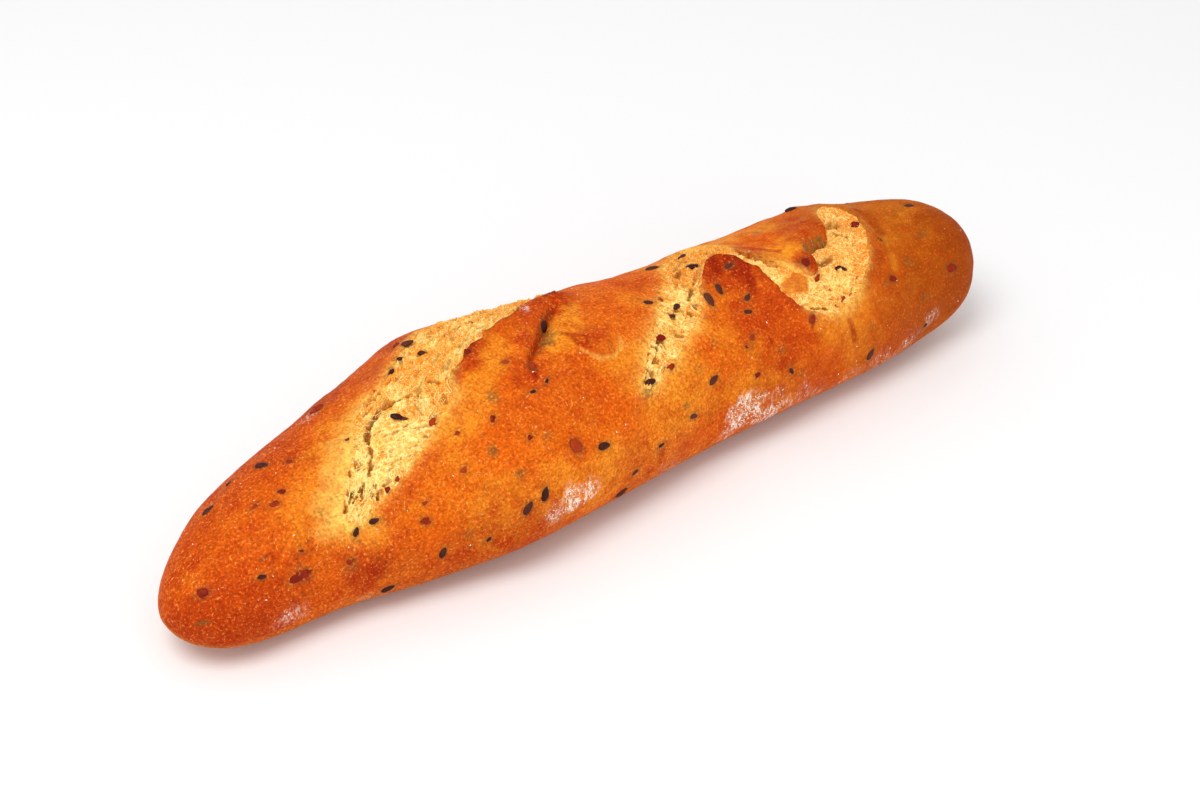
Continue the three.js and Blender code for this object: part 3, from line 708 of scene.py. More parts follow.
def at_opening(points, ring):
    """How deep each point is inside the ring, negative outside it, and the ring's columns at the edge
    nearest to it."""
    depth = np.full(len(points), -RING_REACH)
    edge = np.zeros((len(points), ring.shape[1]))
    low, high = ring[:, :2].min(0) - RING_REACH, ring[:, :2].max(0) + RING_REACH
    near = ((points > low) & (points < high)).all(1)
    distance, found = nearest_on_line(points[near], ring, closed=True)
    depth[near] = np.where(is_inside(points[near], ring), distance, -distance)
    edge[near] = found
    return depth, edge


def at_openings(points):
    """The same for the nearest of the openings."""
    depth = np.full(len(points), -RING_REACH)
    edge = np.zeros((len(points), len(SLASHES["long"][0])))
    for ring in RINGS.values():
        one_depth, one_edge = at_opening(points, ring)
        nearer = one_depth > depth
        depth[nearer], edge[nearer] = one_depth[nearer], one_edge[nearer]
    return depth, edge


def ridge_lift(points):
    """How far the ridges, creases and hairlines lift the crust."""
    lift = np.zeros(len(points))
    for reach, line in RIDGES + HAIRLINES:
        distance, found = nearest_on_line(points, in_plan(line))
        lift += found[:, 2] * np.clip(1 - distance / reach, 0, 1) ** 2
    return lift


def blister_lift(points, blisters):
    """How far the blisters lift a surface."""
    lift = np.zeros(len(points))
    for x, turn, radius, height in blisters:
        away = (points - plan(x, turn)).T
        distance, swing = np.hypot(*away), np.arctan2(*away)
        ragged = 0.07 * np.sin(2 * swing + x) + 0.05 * np.sin(5 * swing)
        lift += height * smoothstep(1 + ragged - distance / radius, 0, 0.5)
    return lift


def patches(points, rows, wobble):
    """0 to 1, how much of a patch is at each point; wobble breaks up the patches' outlines."""
    amount = np.zeros(len(points))
    for x, turn, radius, strength in rows:
        distance = np.hypot(*(points - plan(x, turn)).T) / radius
        amount = np.maximum(amount, strength * smoothstep(1.25 - distance + 0.35 * wobble, 0, 0.8))
    return amount


def line_marks(points, mask, wobble):
    """0 to 1, how much of a mask's lines is at each point."""
    amount = np.zeros(len(points))
    for name, half_width, strength, line in CRUST_LINES:
        if name == mask:
            distance, _ = nearest_on_line(points, in_plan(line))
            within = smoothstep(1.5 - distance / half_width + 0.4 * wobble, 0, 1)
            amount = np.maximum(amount, strength * within)
    return amount


def crust_level(points, x, turn):
    """How far the whole crust stands out from the plain loaf."""
    lift = ridge_lift(points) + blister_lift(points, CRUST_BLISTERS)
    away_from_tips = smoothstep(LOAF_LENGTH / 2 - np.abs(x), 0, 30)
    for height, along, around, start in WAVES:
        phase = along * 2 * np.pi * x / LOAF_LENGTH + around * np.radians(turn) + math.radians(start)
        lift += height * np.sin(phase) * away_from_tips
    return lift


def upper_side(turn):
    """1 over the top and the flanks, 0 along the bottom."""
    return smoothstep(np.cos(np.radians(turn)), -0.6, -0.2)


# Meshes


def mesh_object(name, points_mm, faces, attributes=None):
    """An object at the origin from points in millimetres and faces of three or four corners."""
    mesh = bpy.data.meshes.new(name)
    mesh.from_pydata((np.asarray(points_mm) * MM).tolist(), [], faces)
    for attribute, values in (attributes or {}).items():
        layer = mesh.attributes.new(attribute, "FLOAT", "POINT")
        layer.data.foreach_set("value", np.asarray(values, np.float32))
    mesh.shade_smooth()
    mesh.update()
    obj = bpy.data.objects.new(name, mesh)
    bpy.context.scene.collection.objects.link(obj)
    return obj


def finished(obj, material):
    """Gives a piece its material and hangs it on the loaf's body."""
    obj.data.materials.clear()
    obj.data.materials.append(material)
    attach(obj, BODY)


TIP_REACH = 38.0
TIP_RINGS = 26
FINE_X = (-110.0, 122.0)  # the part of the loaf with the openings, where the skin has its closest points
FINE_TURN = (-50.0, 62.0)
TOP_REACH = 128.0
UNDER_SPACING = 3.0


def skin_grid(spacing):
    """The places of the crust's rings and of the points around each ring."""
    half = LOAF_LENGTH / 2
    swing = np.linspace(0, np.pi / 2, TIP_RINGS + 1)[1:]
    tip = TIP_REACH * (1 - np.cos(swing))
    ends = np.array([-half + TIP_REACH, *FINE_X, half - TIP_REACH])
    body = stretches(ends, (2 * spacing, spacing, 2 * spacing))
    places = np.concatenate([-half + tip[:-1], body, (half - tip[:-1])[::-1]])
    around = np.array([-TOP_REACH, *FINE_TURN, TOP_REACH, 360 - TOP_REACH])
    steps = np.array([2 * spacing, spacing, 2 * spacing, UNDER_SPACING]) / MM_PER_DEGREE
    return places, stretches(around, steps)[:-1]


def stretches(ends, steps):
    """Numbers from the first end to the last, about one step apart in each stretch."""
    parts = [
        np.linspace(low, high, round((high - low) / step), endpoint=False)
        for low, high, step in zip(ends, ends[1:], steps)
    ]
    return np.append(np.concatenate(parts), ends[-1])


# At the openings, in millimetres: how far the lift and the lean of a rim reach, how wide the wall is where
# the rim is raised and where it is flat, and how far the crust's own surface drops inside, out of sight under
# the crumb. Points nearer to the torn edge than a share of the spacing move onto it, so that it is crisp.
RIM_REACH = 1.6
LEAN_REACH = 1.1
RAISED_RIM = 0.25
RAISED_WALL, FLAT_WALL = 1.2, 2.6
CAVITY = 6.0
SNAPPED_SHARE = 0.55
SKIN_FIBRES = np.array([[0.35, 0.94, 0.0]])


def crust_skin(spacing):
    """Points, faces and surface masks of the whole crust."""
    places, turns = skin_grid(spacing)
    x, turn = (g.ravel() for g in np.meshgrid(places, turns, indexing="ij"))
    turn = (turn + 180) % 360 - 180
    points = plan(x, turn)
    depth, edge = at_openings(points)
    snapped = np.abs(depth) < SNAPPED_SHARE * spacing
    points[snapped] = edge[snapped, :2]
    x, turn = points[:, 0], points[:, 1] / MM_PER_DEGREE
    depth[snapped] = 0
    rim, lean, _, glow = edge[:, 2:].T

    upper = upper_side(turn)
    base = plain_loaf(x, turn)
    along, around, outward = skin_axes(x, turn)
    level = crust_level(points, x, turn)
    rim_here = rim * np.exp(-((depth / RIM_REACH) ** 2))
    inside = smoothstep(depth, 0, np.where(rim > RAISED_RIM, RAISED_WALL, FLAT_WALL))
    lift = (level + rim_here + lumpy(base, CRUST_LUMPS)) * (1 - inside) - CAVITY * inside

    # The rims lean in over the openings.
    inward = np.where(snapped[:, None], 0, unit(edge[:, :2] - points))
    inward[snapped] = way_in(points[snapped])
    shift = (lean * np.exp(-((depth / LEAN_REACH) ** 2)) * (depth < 0.2))[:, None]
    skin = base + outward * (lift * upper)[:, None]
    skin += shift * (along * inward[:, :1] + around * inward[:, 1:])
    skin[:, 2] = np.maximum(skin[:, 2], 0)

    half = LOAF_LENGTH / 2
    tips = plain_loaf(np.array([-half, half]), np.array([0.0, 0.0]))
    skin = np.concatenate([skin, tips])
    faces = grid_faces(skin, len(places), len(turns))

    wobble, soft = lumpy(base, CRUST_WOBBLE), lumpy(base, SOFT_WOBBLE)
    near = np.exp(np.minimum(depth, 0) / (0.6 + 2.5 * glow))
    lip = rim * np.exp(-((depth / 2.0) ** 2))
    flat = np.column_stack([points, np.zeros(len(points))])
    fibres = drawn_out(flat, SKIN_FIBRES, 1.3, 4.0, 15)
    lines = {mask: line_marks(points, mask, wobble) for mask in ("pale", "brown", "red", "golden")}
    masks = {
        "pale": np.clip(np.sqrt(glow) * near * (1.0 + 0.45 * wobble + 0.22 * fibres) + lines["pale"], 0, 1),
        # Real browning, and painted shade along creases.
        "brown": np.clip(patches(points, BROWN_PATCHES, wobble) + lines["brown"] + 0.5 * lip, 0, 1),
        "red": np.clip(patches(points, RED_PATCHES, soft) + lines["red"] + 0.3 * lip, 0, 1),
        # Golden crust, painted light on the lower front flank, and partly painted sheen on the far top.
        "golden": np.maximum(patches(points, GOLDEN_PATCHES, soft), lines["golden"]),
        # Sunken seeds, and painted shade in the creases.
        "sunken_seed_and_shade": patches(points, SUNKEN_SEEDS_AND_SHADE, wobble * 0.6),
        "flour": patches(points, FLOUR_PATCHES, wobble),
        "under": 1 - upper,
    }
    masks = {name: np.concatenate([values, values[[0, -1]]]) for name, values in masks.items()}
    return skin, faces, masks


def way_in(points):
    """The way into the opening, in the plan, at points that lie on its edge."""
    step = 0.6
    slopes = [at_openings(points + axis)[0] - at_openings(points - axis)[0] for axis in np.eye(2) * step]
    return unit(np.stack(slopes, -1))


def grid_faces(skin, rings, around):
    """Triangles of a closed skin of rings, each cell split along its shorter diagonal; the last two points
    are the tips."""
    ring, i = np.meshgrid(np.arange(rings - 1), np.arange(around), indexing="ij")
    after = (i + 1) % around
    a, b = ring * around + i, (ring + 1) * around + i
    c, d = (ring + 1) * around + after, ring * around + after
    a, b, c, d = (q.ravel() for q in (a, b, c, d))
    short = np.linalg.norm(skin[a] - skin[c], axis=1) < np.linalg.norm(skin[b] - skin[d], axis=1)
    first = np.where(short[:, None], np.stack([a, c, b], -1), np.stack([a, d, b], -1))
    second = np.where(short[:, None], np.stack([a, d, c], -1), np.stack([b, d, c], -1))
    start, end = rings * around, rings * around + 1
    i = np.arange(around)
    after = (i + 1) % around
    last = (rings - 1) * around
    left = np.stack([np.full(around, start), after, i], -1)
    right = np.stack([np.full(around, end), last + i, last + after], -1)
    return np.concatenate([first, second, left, right]).tolist()


CRUMB_MARGIN = 1.3  # how far the crumb runs on under the crust around its opening
CRUMB_SLOPE = 3.6  # how far in from the edge the crumb reaches its own level
CRUMB_ROOT = 14.0  # how deep the point lies that closes the crumb underneath


def crumb_patch(name, spacing, pore):
    """Points, faces and surface masks of the crumb that fills one opening, closed underneath."""
    ring = RINGS[name]
    low, high = ring[:, :2].min(0) - CRUMB_MARGIN, ring[:, :2].max(0) + CRUMB_MARGIN
    columns = np.arange(low[0], high[0], spacing)
    rows = np.arange(low[1], high[1], spacing)
    grid = np.stack(np.meshgrid(columns, rows, indexing="ij"), -1).reshape(-1, 2)
    depth, edge = at_opening(grid, ring)
    keep = (depth > -CRUMB_MARGIN).reshape(len(columns), len(rows))
    cells = keep[:-1, :-1] & keep[1:, :-1] & keep[1:, 1:] & keep[:-1, 1:]
    corner = np.arange(len(grid)).reshape(len(columns), len(rows))
    quads = np.stack([corner[:-1, :-1], corner[:-1, 1:], corner[1:, 1:], corner[1:, :-1]], -1)[cells]
    used, quads = np.unique(quads, return_inverse=True)
    quads = quads.reshape(-1, 4)
    points, depth, edge = grid[used], depth[used], edge[used]

    x, turn = points[:, 0], points[:, 1] / MM_PER_DEGREE
    base = plain_loaf(x, turn)
    _, _, outward = skin_axes(x, turn)
    _, _, drop, glow = edge[:, 2:].T
    centre = centre_level(points, CRUMB_LEVELS[name])
    inner = smoothstep(depth, 0, CRUMB_SLOPE)
    edge_level = crust_level(points, x, turn) - drop
    level = edge_level * (1 - inner) + centre * inner
    level -= 0.9 * smoothstep(-depth, 0.0, CRUMB_MARGIN)

    ways = fibre_ways(points)
    flat = np.column_stack([points, np.zeros(len(points))])
    wobble = lumpy(base, CRUMB_WOBBLE)
    warp = np.stack([lumpy(base, [row]) for row in CRUMB_BENDS], -1)
    threads, cords, streaks = (drawn_out(flat + bend * warp, ways, *row) for bend, *row in CRUMB_FIBRES)
    torn = drawn_out(flat + warp, ways, *(pore * share for share in PORE_SHARES), 63)
    heat = patches(points, TOASTED_ZONES, wobble)
    fresh = patches(points, FRESH_ZONES, wobble)
    stringy = thready_part(points)
    drawn, thready = stringy * (1 - 0.5 * fresh), 0.35 + 0.65 * stringy
    zone = patches(points, PORE_ZONES, wobble)
    pores = smoothstep(-torn, 1.4 - 1.2 * zone, 2.6 - 1.0 * zone)
    small = smoothstep(bubbles(base + 0.2 * warp, *SMALL_BUBBLES), 0.0, 0.7)
    webs = [1 - 2.6 * np.abs(lumps(base + bend * warp, size, seed)) for bend, size, seed in CRUMB_WEBS]
    web = np.clip(np.maximum(*webs), 0, 1) ** 2 * (1 - 0.55 * drawn * heat)

    # The relief, in millimetres.
    grain = (0.07 * threads + 0.2 * cords + 0.26 * streaks) * thready + 0.36 * web - 0.16 * small
    grain += 0.16 * (1 - 0.6 * drawn) * lumps(base, 1.0, 66)
    relief = lumpy(base, CRUMB_LUMPS)
    relief += grain - (0.5 + 0.8 * zone) * pores
    split = np.zeros(len(points))
    for half_width, split_depth, line in CRUMB_SPLITS:
        distance, _ = nearest_on_line(points, in_plan(line))
        here = smoothstep(1 - (distance + 0.5 * lumps(base, 1.7, 34) + 0.25 * web) / half_width, 0, 0.9)
        relief -= split_depth * here
        split = np.maximum(split, here)
    blister = blister_lift(points, CRUMB_BLISTERS)
    calm = np.clip(blister, 0, 1)
    rim_light = 4 * calm * (1 - calm)
    relief = relief * (1 - 0.85 * calm) + blister
    level += relief * smoothstep(depth, -0.6, 1.2)
    top = base + outward * level[:, None]

    # Closed by a fan to one point deep in the loaf.
    middle = (np.array([points[:, 0].mean()]), np.array([turn.mean()]))
    deep = plain_loaf(*middle) - skin_axes(*middle)[2] * CRUMB_ROOT
    faces = quads[:, ::-1].tolist() + fan_faces(quads, len(top))

    # The surface masks.
    film = 1 - smoothstep(depth + 0.8 * wobble + 0.5 * threads * thready, 0.0, 0.8 + 2.0 * glow)
    # Painted highlight on the rims of the crumb's blisters, carried by the thread mask.
    threads = threads + 2.5 * rim_light
    toast = 0.55 - 0.15 * stringy - 0.3 * fresh + 0.12 * wobble + 0.4 * heat - 0.14 * web
    # Painted shade: darker in the pores, the splits and the low parts of the fine relief.
    crumb_shade = (0.35 + 0.55 * zone) * pores + 0.65 * smoothstep(-grain, 0.05, 0.6) + split
    # The thread mask: lighter drawn threads, and painted highlight on the raised webs and the blisters' rims.
    thread = 0.35 + (0.08 * threads + 0.08 * cords) * thready + 0.5 * web
    masks = {
        "toast": toast + 0.12 * cords + (0.08 + 0.18 * drawn) * streaks,
        "film": film * np.where(glow > 0.05, 0.9 - 0.35 * glow, 0.5),
        "crumb_shade": np.clip(crumb_shade, 0, 0.88) * (1 - calm),
        "thread": np.clip(thread, 0, 1) * (1 - 0.8 * calm) * (1 - 0.35 * heat),
        "blister": smoothstep(calm, 0.05, 1.0),
    }
    masks = {mask: np.append(values, 0.5) for mask, values in masks.items()}
    return np.concatenate([top, deep]), faces, masks


def thready_part(points):
    """1 where the crumb tore into threads, 0 where it tore short and mealy, at the right-hand end."""
    return smoothstep(70 - points[:, 0], -6, 6)


def fibre_ways(points):
    """The direction of the drawn-out gluten, as unit vectors in the plan."""
    rows = in_plan(FIBRE_WAYS)
    distance = np.linalg.norm(points[:, None, :] - rows[None, :, :2], axis=2)
    weight = 1 / (distance**2 + 3.0) ** 1.5
    twice = 2 * np.radians(rows[:, 2])
    angle = np.arctan2((weight * np.sin(twice)).sum(1), (weight * np.cos(twice)).sum(1)) / 2
    return np.stack([np.cos(angle), np.sin(angle), np.zeros(len(points))], -1)


def drawn_out(flat, ways, size, length, seed):
    """Noise drawn out along the ways: threads of the width and length given, spread evenly about 0 by 1."""
    steps = np.linspace(-length / 2, length / 2, max(3, round(1.6 * length / size)))
    total = sum(lumps(flat + step * ways, size, seed) for step in steps)
    return total / total.std()


def centre_level(points, rows):
    """The crumb's level between the places where it is given."""
    rows = in_plan(rows)
    distance = np.linalg.norm(points[:, None, :] - rows[None, :, :2], axis=2)
    weight = 1 / (distance**2 + 4.0)
    return (weight * rows[:, 2]).sum(1) / weight.sum(1)


def fan_faces(quads, middle):
    """Triangles from the open border of a patch of cells to one middle point."""
    # quads run the other way round on the surface, so their edges are used as they are.
    edges = np.concatenate([quads[:, [i, (i + 1) % 4]] for i in range(4)])
    key = edges[:, 0].astype(np.int64) * (middle + 1) + edges[:, 1]
    reverse = edges[:, 1].astype(np.int64) * (middle + 1) + edges[:, 0]
    border = edges[~np.isin(key, reverse)]
    return [[int(a), int(b), middle] for a, b in border]


# Node trees


def add(tree, kind, values=None, **settings):
    """Adds a node. Values are its sockets by name or number, each a constant, an output, or a node whose
    first output in use is taken."""
    node = tree.nodes.new(kind)
    for name, setting in settings.items():
        setattr(node, name, setting)
    for key, value in (values or {}).items():
        named = (socket for socket in node.inputs if socket.name == key and socket.enabled)
        socket = node.inputs[key] if isinstance(key, int) else next(named)
        if isinstance(value, bpy.types.Node):
            value = next(out for out in value.outputs if out.enabled)
        if isinstance(value, bpy.types.NodeSocket):
            tree.links.new(value, socket)
        else:
            socket.default_value = value
    return node


def new_material(name):
    """An empty material and its node tree."""
    material = bpy.data.materials.new(name)
    material.use_nodes = True
    material.node_tree.nodes.clear()
    return material, material.node_tree


PER_MM = 1000.0  # a pattern's scale in metres for a repeat of one millimetre


# What a noise is given: where it is read, its scale, its detail and its roughness. What a range is given: a
# value, the two limits that it is read between, and what it becomes at each.
NOISE = ("Vector", "Scale", "Detail", "Roughness")
RANGE = ("Value", "From Min", "From Max", "To Min", "To Max")


def coats(tree, colour, layers):
    """Lays coats over a colour. Each layer is a coat's colour and what its thickness is multiplied from: a
    number, a value, or a value with its limits and what it becomes at each."""
    for coat, *factors in layers:
        thickness = None
        for factor in factors:
            if isinstance(factor, tuple):
                factor = add(tree, "ShaderNodeMapRange", dict(zip(RANGE, factor)))
            if thickness is None:
                thickness = factor
            else:
                thickness = add(tree, "ShaderNodeMath", {0: thickness, 1: factor}, operation="MULTIPLY")
        colour = add(tree, "ShaderNodeMix", {"Factor": thickness, "A": colour, "B": coat}, data_type="RGBA")
    return colour


def baked_crust(colours, grain):
    """Baked wheat crust: dried, browned starch and gluten. It is matt to half-matt, mottled from golden to
    red-brown over a few millimetres, with a grain under a millimetre wide from the tiny blisters of its
    skin, and that grain is quieter towards the right-hand end."""
    material, tree = new_material("baked_crust")
    place = add(tree, "ShaderNodeTexCoord").outputs["Object"]
    along = add(tree, "ShaderNodeSeparateXYZ", {0: place})
    down = add(tree, "ShaderNodeMapping", {"Vector": place, "Scale": (1.0, 0.4, 0.4)})
    soft, blotch, mottle, fine, curls, gaps, specks, clumps = (
        add(tree, "ShaderNodeTexNoise", dict(zip(NOISE, row)))
        for row in (
            (place, PER_MM / 15.0, 3.0, 0.55),
            (place, PER_MM / 5.0, 4.0, 0.55),
            (place, PER_MM / 1.7, 3.0, 0.55),
            (place, PER_MM / grain, 2.0, 0.6),
            (place, PER_MM / 1.2, 0.0, 0.55),
            (place, PER_MM / 0.95, 0.0, 0.55),
            (down, PER_MM / 0.75, 3.0, 0.6),
            (down, PER_MM / 2.2, 3.0, 0.6),
        )
    )
    mask = {
        name: add(tree, "ShaderNodeAttribute", attribute_name=name).outputs["Fac"]
        for name in ("pale", "brown", "red", "golden", "sunken_seed_and_shade", "flour", "under")
    }

    # The golden and the red parts spread where slow noise is high.
    for name, share, *cloud in (
        ("golden", 1.0, soft, 0.45, 0.75, 0.0, 0.3),
        ("red", 0.85, blotch, 0.46, 0.7, 0.0, 0.55),
    ):
        spread = {0: mask[name], 1: share, 2: add(tree, "ShaderNodeMapRange", dict(zip(RANGE, cloud)))}
        mask[name] = add(tree, "ShaderNodeMath", spread, operation="MULTIPLY_ADD", use_clamp=True)
    layers = (
        # Golden crust, painted light on the lower front flank, and partly painted sheen on the far top.
        (colours.golden, mask["golden"]),
        (colours.red, mask["red"]),
        # Browning, and painted shade along creases.
        (colours.brown, mask["brown"], (mottle, 0.25, 0.55, 0.6)),
        (colours.pale, mask["pale"]),
        (colours.underside, mask["under"], 0.6),
        (colours.ochre, (along, 0.085, 0.125, 0.0, 0.5)),
        (colours.red, (mottle, 0.54, 0.7, 0.0, 0.5)),
        # Sunken seeds, and painted shade in the creases and around the seeds.
        (colours.sunken_seed_and_shade, mask["sunken_seed_and_shade"], (mottle, 0.3, 0.6, 0.9, 0.55)),
    )
    colour = coats(tree, colours.crust, layers)

    grainy, grains = (
        add(tree, "ShaderNodeMapRange", dict(zip(RANGE, row)))
        for row in ((along, 0.04, 0.12, 1.0, 0.5), (fine, 0.28, 0.72, -0.43, 0.4))
    )
    lightness = add(tree, "ShaderNodeMath", {0: grains, 1: grainy, 2: 1.0}, operation="MULTIPLY_ADD")
    colour = add(tree, "ShaderNodeHueSaturation", {"Value": lightness, "Color": colour})

    # Pale flecks; short curls of dried skin, which are pieces of the level lines of a noise and thin out to
    # the right; and flour, which clings in specks a little drawn out down the flanks.
    curl = add(tree, "ShaderNodeMath", {0: curls, 1: 0.5, 2: 0.045}, operation="COMPARE")
    bare = add(tree, "ShaderNodeMath", {0: 1.0, 1: mask["brown"]}, operation="SUBTRACT", use_clamp=True)
    thinning = (along, -0.1, 0.05, 1.0, 0.35)
    layers = (
        (colours.pale, grainy, (fine, 0.6, 0.74, 0.0, 0.35)),
        (colours.curl, curl, (gaps, 0.66, 0.72), (soft, 0.35, 0.65, 0.15, 0.9), thinning, bare),
        (colours.flour, mask["flour"], (clumps, 0.42, 0.56, 0.12), (specks, 0.47, 0.56, 0.1)),
    )
    colour = coats(tree, colour, layers)

    height = add(tree, "ShaderNodeMath", {0: mottle, 1: 0.6, 2: fine}, operation="MULTIPLY_ADD")
    bump = add(tree, "ShaderNodeBump", {"Height": height, "Strength": 0.8, "Distance": 0.35 * MM})
    matt = add(tree, "ShaderNodeMapRange", dict(zip(RANGE, (blotch, 0.3, 0.7, 0.5, 0.75))))
    surface = {"Base Color": colour, "Roughness": matt, "Normal": bump, "Specular IOR Level": 0.06}
    shader = add(tree, "ShaderNodeBsdfPrincipled", surface)
    add(tree, "ShaderNodeOutputMaterial", {"Surface": shader})
    return material


def torn_crumb(colours):
    """Torn wheat crumb: a starch and gluten foam, dull, cream where it is fresh from inside and toasted where
    it stood out in the oven's heat. Painted shade darkens its pores, splits and low hollows. Its drawn
    threads are lighter, and painted highlight lightens its raised webs and the rims of its blisters."""
    material, tree = new_material("torn_crumb")
    place = add(tree, "ShaderNodeTexCoord").outputs["Object"]
    fine, broad, middling, cells, mottle = (
        add(tree, "ShaderNodeTexNoise", dict(zip(NOISE, row)))
        for row in (
            (place, PER_MM / 0.7, 2.0, 0.55),
            (place, PER_MM / 5.5, 3.0, 0.55),
            (place, PER_MM / 2.0, 4.0, 0.65),
            (place, PER_MM / 1.0, 1.0, 0.55),
            (place, PER_MM / 2.6, 3.0, 0.55),
        )
    )
    toast, film, crumb_shade, thread, blister = (
        add(tree, "ShaderNodeAttribute", attribute_name=name).outputs["Fac"]
        for name in ("toast", "film", "crumb_shade", "thread", "blister")
    )
    for cloud, share in ((broad, 1.2), (middling, 0.7)):
        toast = add(tree, "ShaderNodeMath", {0: cloud, 1: share, 2: toast}, operation="MULTIPLY_ADD")

    # The walls between the smallest bubbles: level lines of a noise, lighter than what they part.
    wall = add(tree, "ShaderNodeMath", {0: cells, 1: 0.5, 2: 0.03}, operation="COMPARE")
    layers = (
        (colours.golden, (mottle, 0.4, 0.65)),
        (colours.pore, (blister, 0.5, 1.0, 0.0, 0.3)),
    )
    skin = coats(tree, colours.crust, layers)
    layers = (
        (colours.toasted, (toast, 1.12, 1.65)),
        (colours.thread, (toast, 1.15, 0.85, 0.0, 0.7)),
        # Partly painted highlight, on the raised webs and the blisters' rims.
        (colours.thread, (thread, 0.48, 0.85, 0.0, 0.95)),
        (colours.toasted, (thread, 0.35, 0.05, 0.0, 0.4)),
        (colours.toasted, (fine, 0.42, 0.3, 0.0, 0.5)),
        (colours.golden, film),
        (colours.thread, wall, 0.65),
        # Painted shade in the pores, the splits and the low hollows.
        (colours.pore, crumb_shade),
        (skin, blister, 0.9),
    )
    colour = coats(tree, colours.crumb, layers)
    lightness = add(tree, "ShaderNodeMapRange", dict(zip(RANGE, (fine, 0.3, 0.7, 0.8, 1.18))))
    colour = add(tree, "ShaderNodeHueSaturation", {"Value": lightness, "Color": colour})
    bump = add(tree, "ShaderNodeBump", {"Height": fine, "Strength": 0.5, "Distance": 0.2 * MM})
    surface = {"Base Color": colour, "Roughness": 0.75, "Normal": bump, "Specular IOR Level": 0.15}
    shader = add(tree, "ShaderNodeBsdfPrincipled", surface)
    add(tree, "ShaderNodeOutputMaterial", {"Surface": shader})
    return material


def seed_coat(name, colour, other, gloss, roughness):
    """A seed's coat or a flake of bran: thin, hard and naturally waxed, so it is glossier than the crust;
    each one has its own tint."""
    material, tree = new_material(name)
    place = add(tree, "ShaderNodeTexCoord").outputs["Object"]
    cloud = add(tree, "ShaderNodeTexNoise", {"Vector": place, "Scale": PER_MM / 1.4, "Detail": 3.0})
    tint = add(tree, "ShaderNodeAttribute", attribute_name="seed_tint").outputs["Fac"]
    tint = add(tree, "ShaderNodeMath", {0: cloud, 1: 1.2, 2: tint}, operation="MULTIPLY_ADD")
    mixed = coats(tree, colour, [(other, (tint, 0.8, 1.6))])
    bump = add(tree, "ShaderNodeBump", {"Height": cloud, "Strength": 0.5, "Distance": 0.25 * MM})
    surface = {"Base Color": mixed, "Roughness": roughness, "Normal": bump, "Specular IOR Level": gloss}
    shader = add(tree, "ShaderNodeBsdfPrincipled", surface)
    add(tree, "ShaderNodeOutputMaterial", {"Surface": shader})
    return material


def plain_dust(name, colour, roughness):
    """Wheat flour, or a thread of dried gluten: dull and pale, with nothing of a gloss."""
    material, tree = new_material(name)
    surface = {"Base Color": colour, "Roughness": roughness, "Specular IOR Level": 0.1}
    shader = add(tree, "ShaderNodeBsdfPrincipled", surface)
    add(tree, "ShaderNodeOutputMaterial", {"Surface": shader})
    return material


# Seeds by Geometry Nodes


def new_tree(name, sizes):
    """A Geometry Nodes tree with named inputs for its sizes, and its input and output nodes' sockets."""
    tree = bpy.data.node_groups.new(name, "GeometryNodeTree")
    tree.interface.new_socket("Geometry", in_out="INPUT", socket_type="NodeSocketGeometry")
    for label, value in sizes.items():
        socket = tree.interface.new_socket(label, in_out="INPUT", socket_type="NodeSocketFloat")
        socket.default_value = value
    tree.interface.new_socket("Geometry", in_out="OUTPUT", socket_type="NodeSocketGeometry")
    return tree, add(tree, "NodeGroupInput").outputs


def on_marks(tree, points, shape):
    """Puts the shape on each point, turned and sized by the point's own attributes, as plain geometry."""
    turn = add(tree, "GeometryNodeInputNamedAttribute", {"Name": "mark_turn"}, data_type="FLOAT_VECTOR")
    size = add(tree, "GeometryNodeInputNamedAttribute", {"Name": "mark_length"}, data_type="FLOAT")
    values = {"Points": points, "Instance": shape, "Rotation": turn, "Scale": size}
    placed = add(tree, "GeometryNodeInstanceOnPoints", values)
    return add(tree, "GeometryNodeRealizeInstances", {0: placed})


def shaken(tree, geometry, amount, mm):
    """Moves each point by soft noise, so that no two shapes are the same."""
    spot = add(tree, "GeometryNodeInputPosition")
    noise = add(tree, "ShaderNodeTexNoise", {"Vector": spot, "Scale": PER_MM / mm, "Detail": 1.0})
    noise = noise.outputs["Color"]
    centred = add(tree, "ShaderNodeVectorMath", {0: noise, 1: (0.5, 0.5, 0.5)}, operation="SUBTRACT")
    push = add(tree, "ShaderNodeVectorMath", {0: centred, "Scale": amount}, operation="SCALE")
    return add(tree, "GeometryNodeSetPosition", {"Geometry": geometry, "Offset": push})


def closing(tree, geometry, material):
    """Smooth shading and the material, at the end of a tree."""
    smooth = add(tree, "GeometryNodeSetShadeSmooth", {"Geometry": geometry})
    coat = add(tree, "GeometryNodeSetMaterial", {"Geometry": smooth, "Material": material})
    add(tree, "NodeGroupOutput", {0: coat})
    return tree


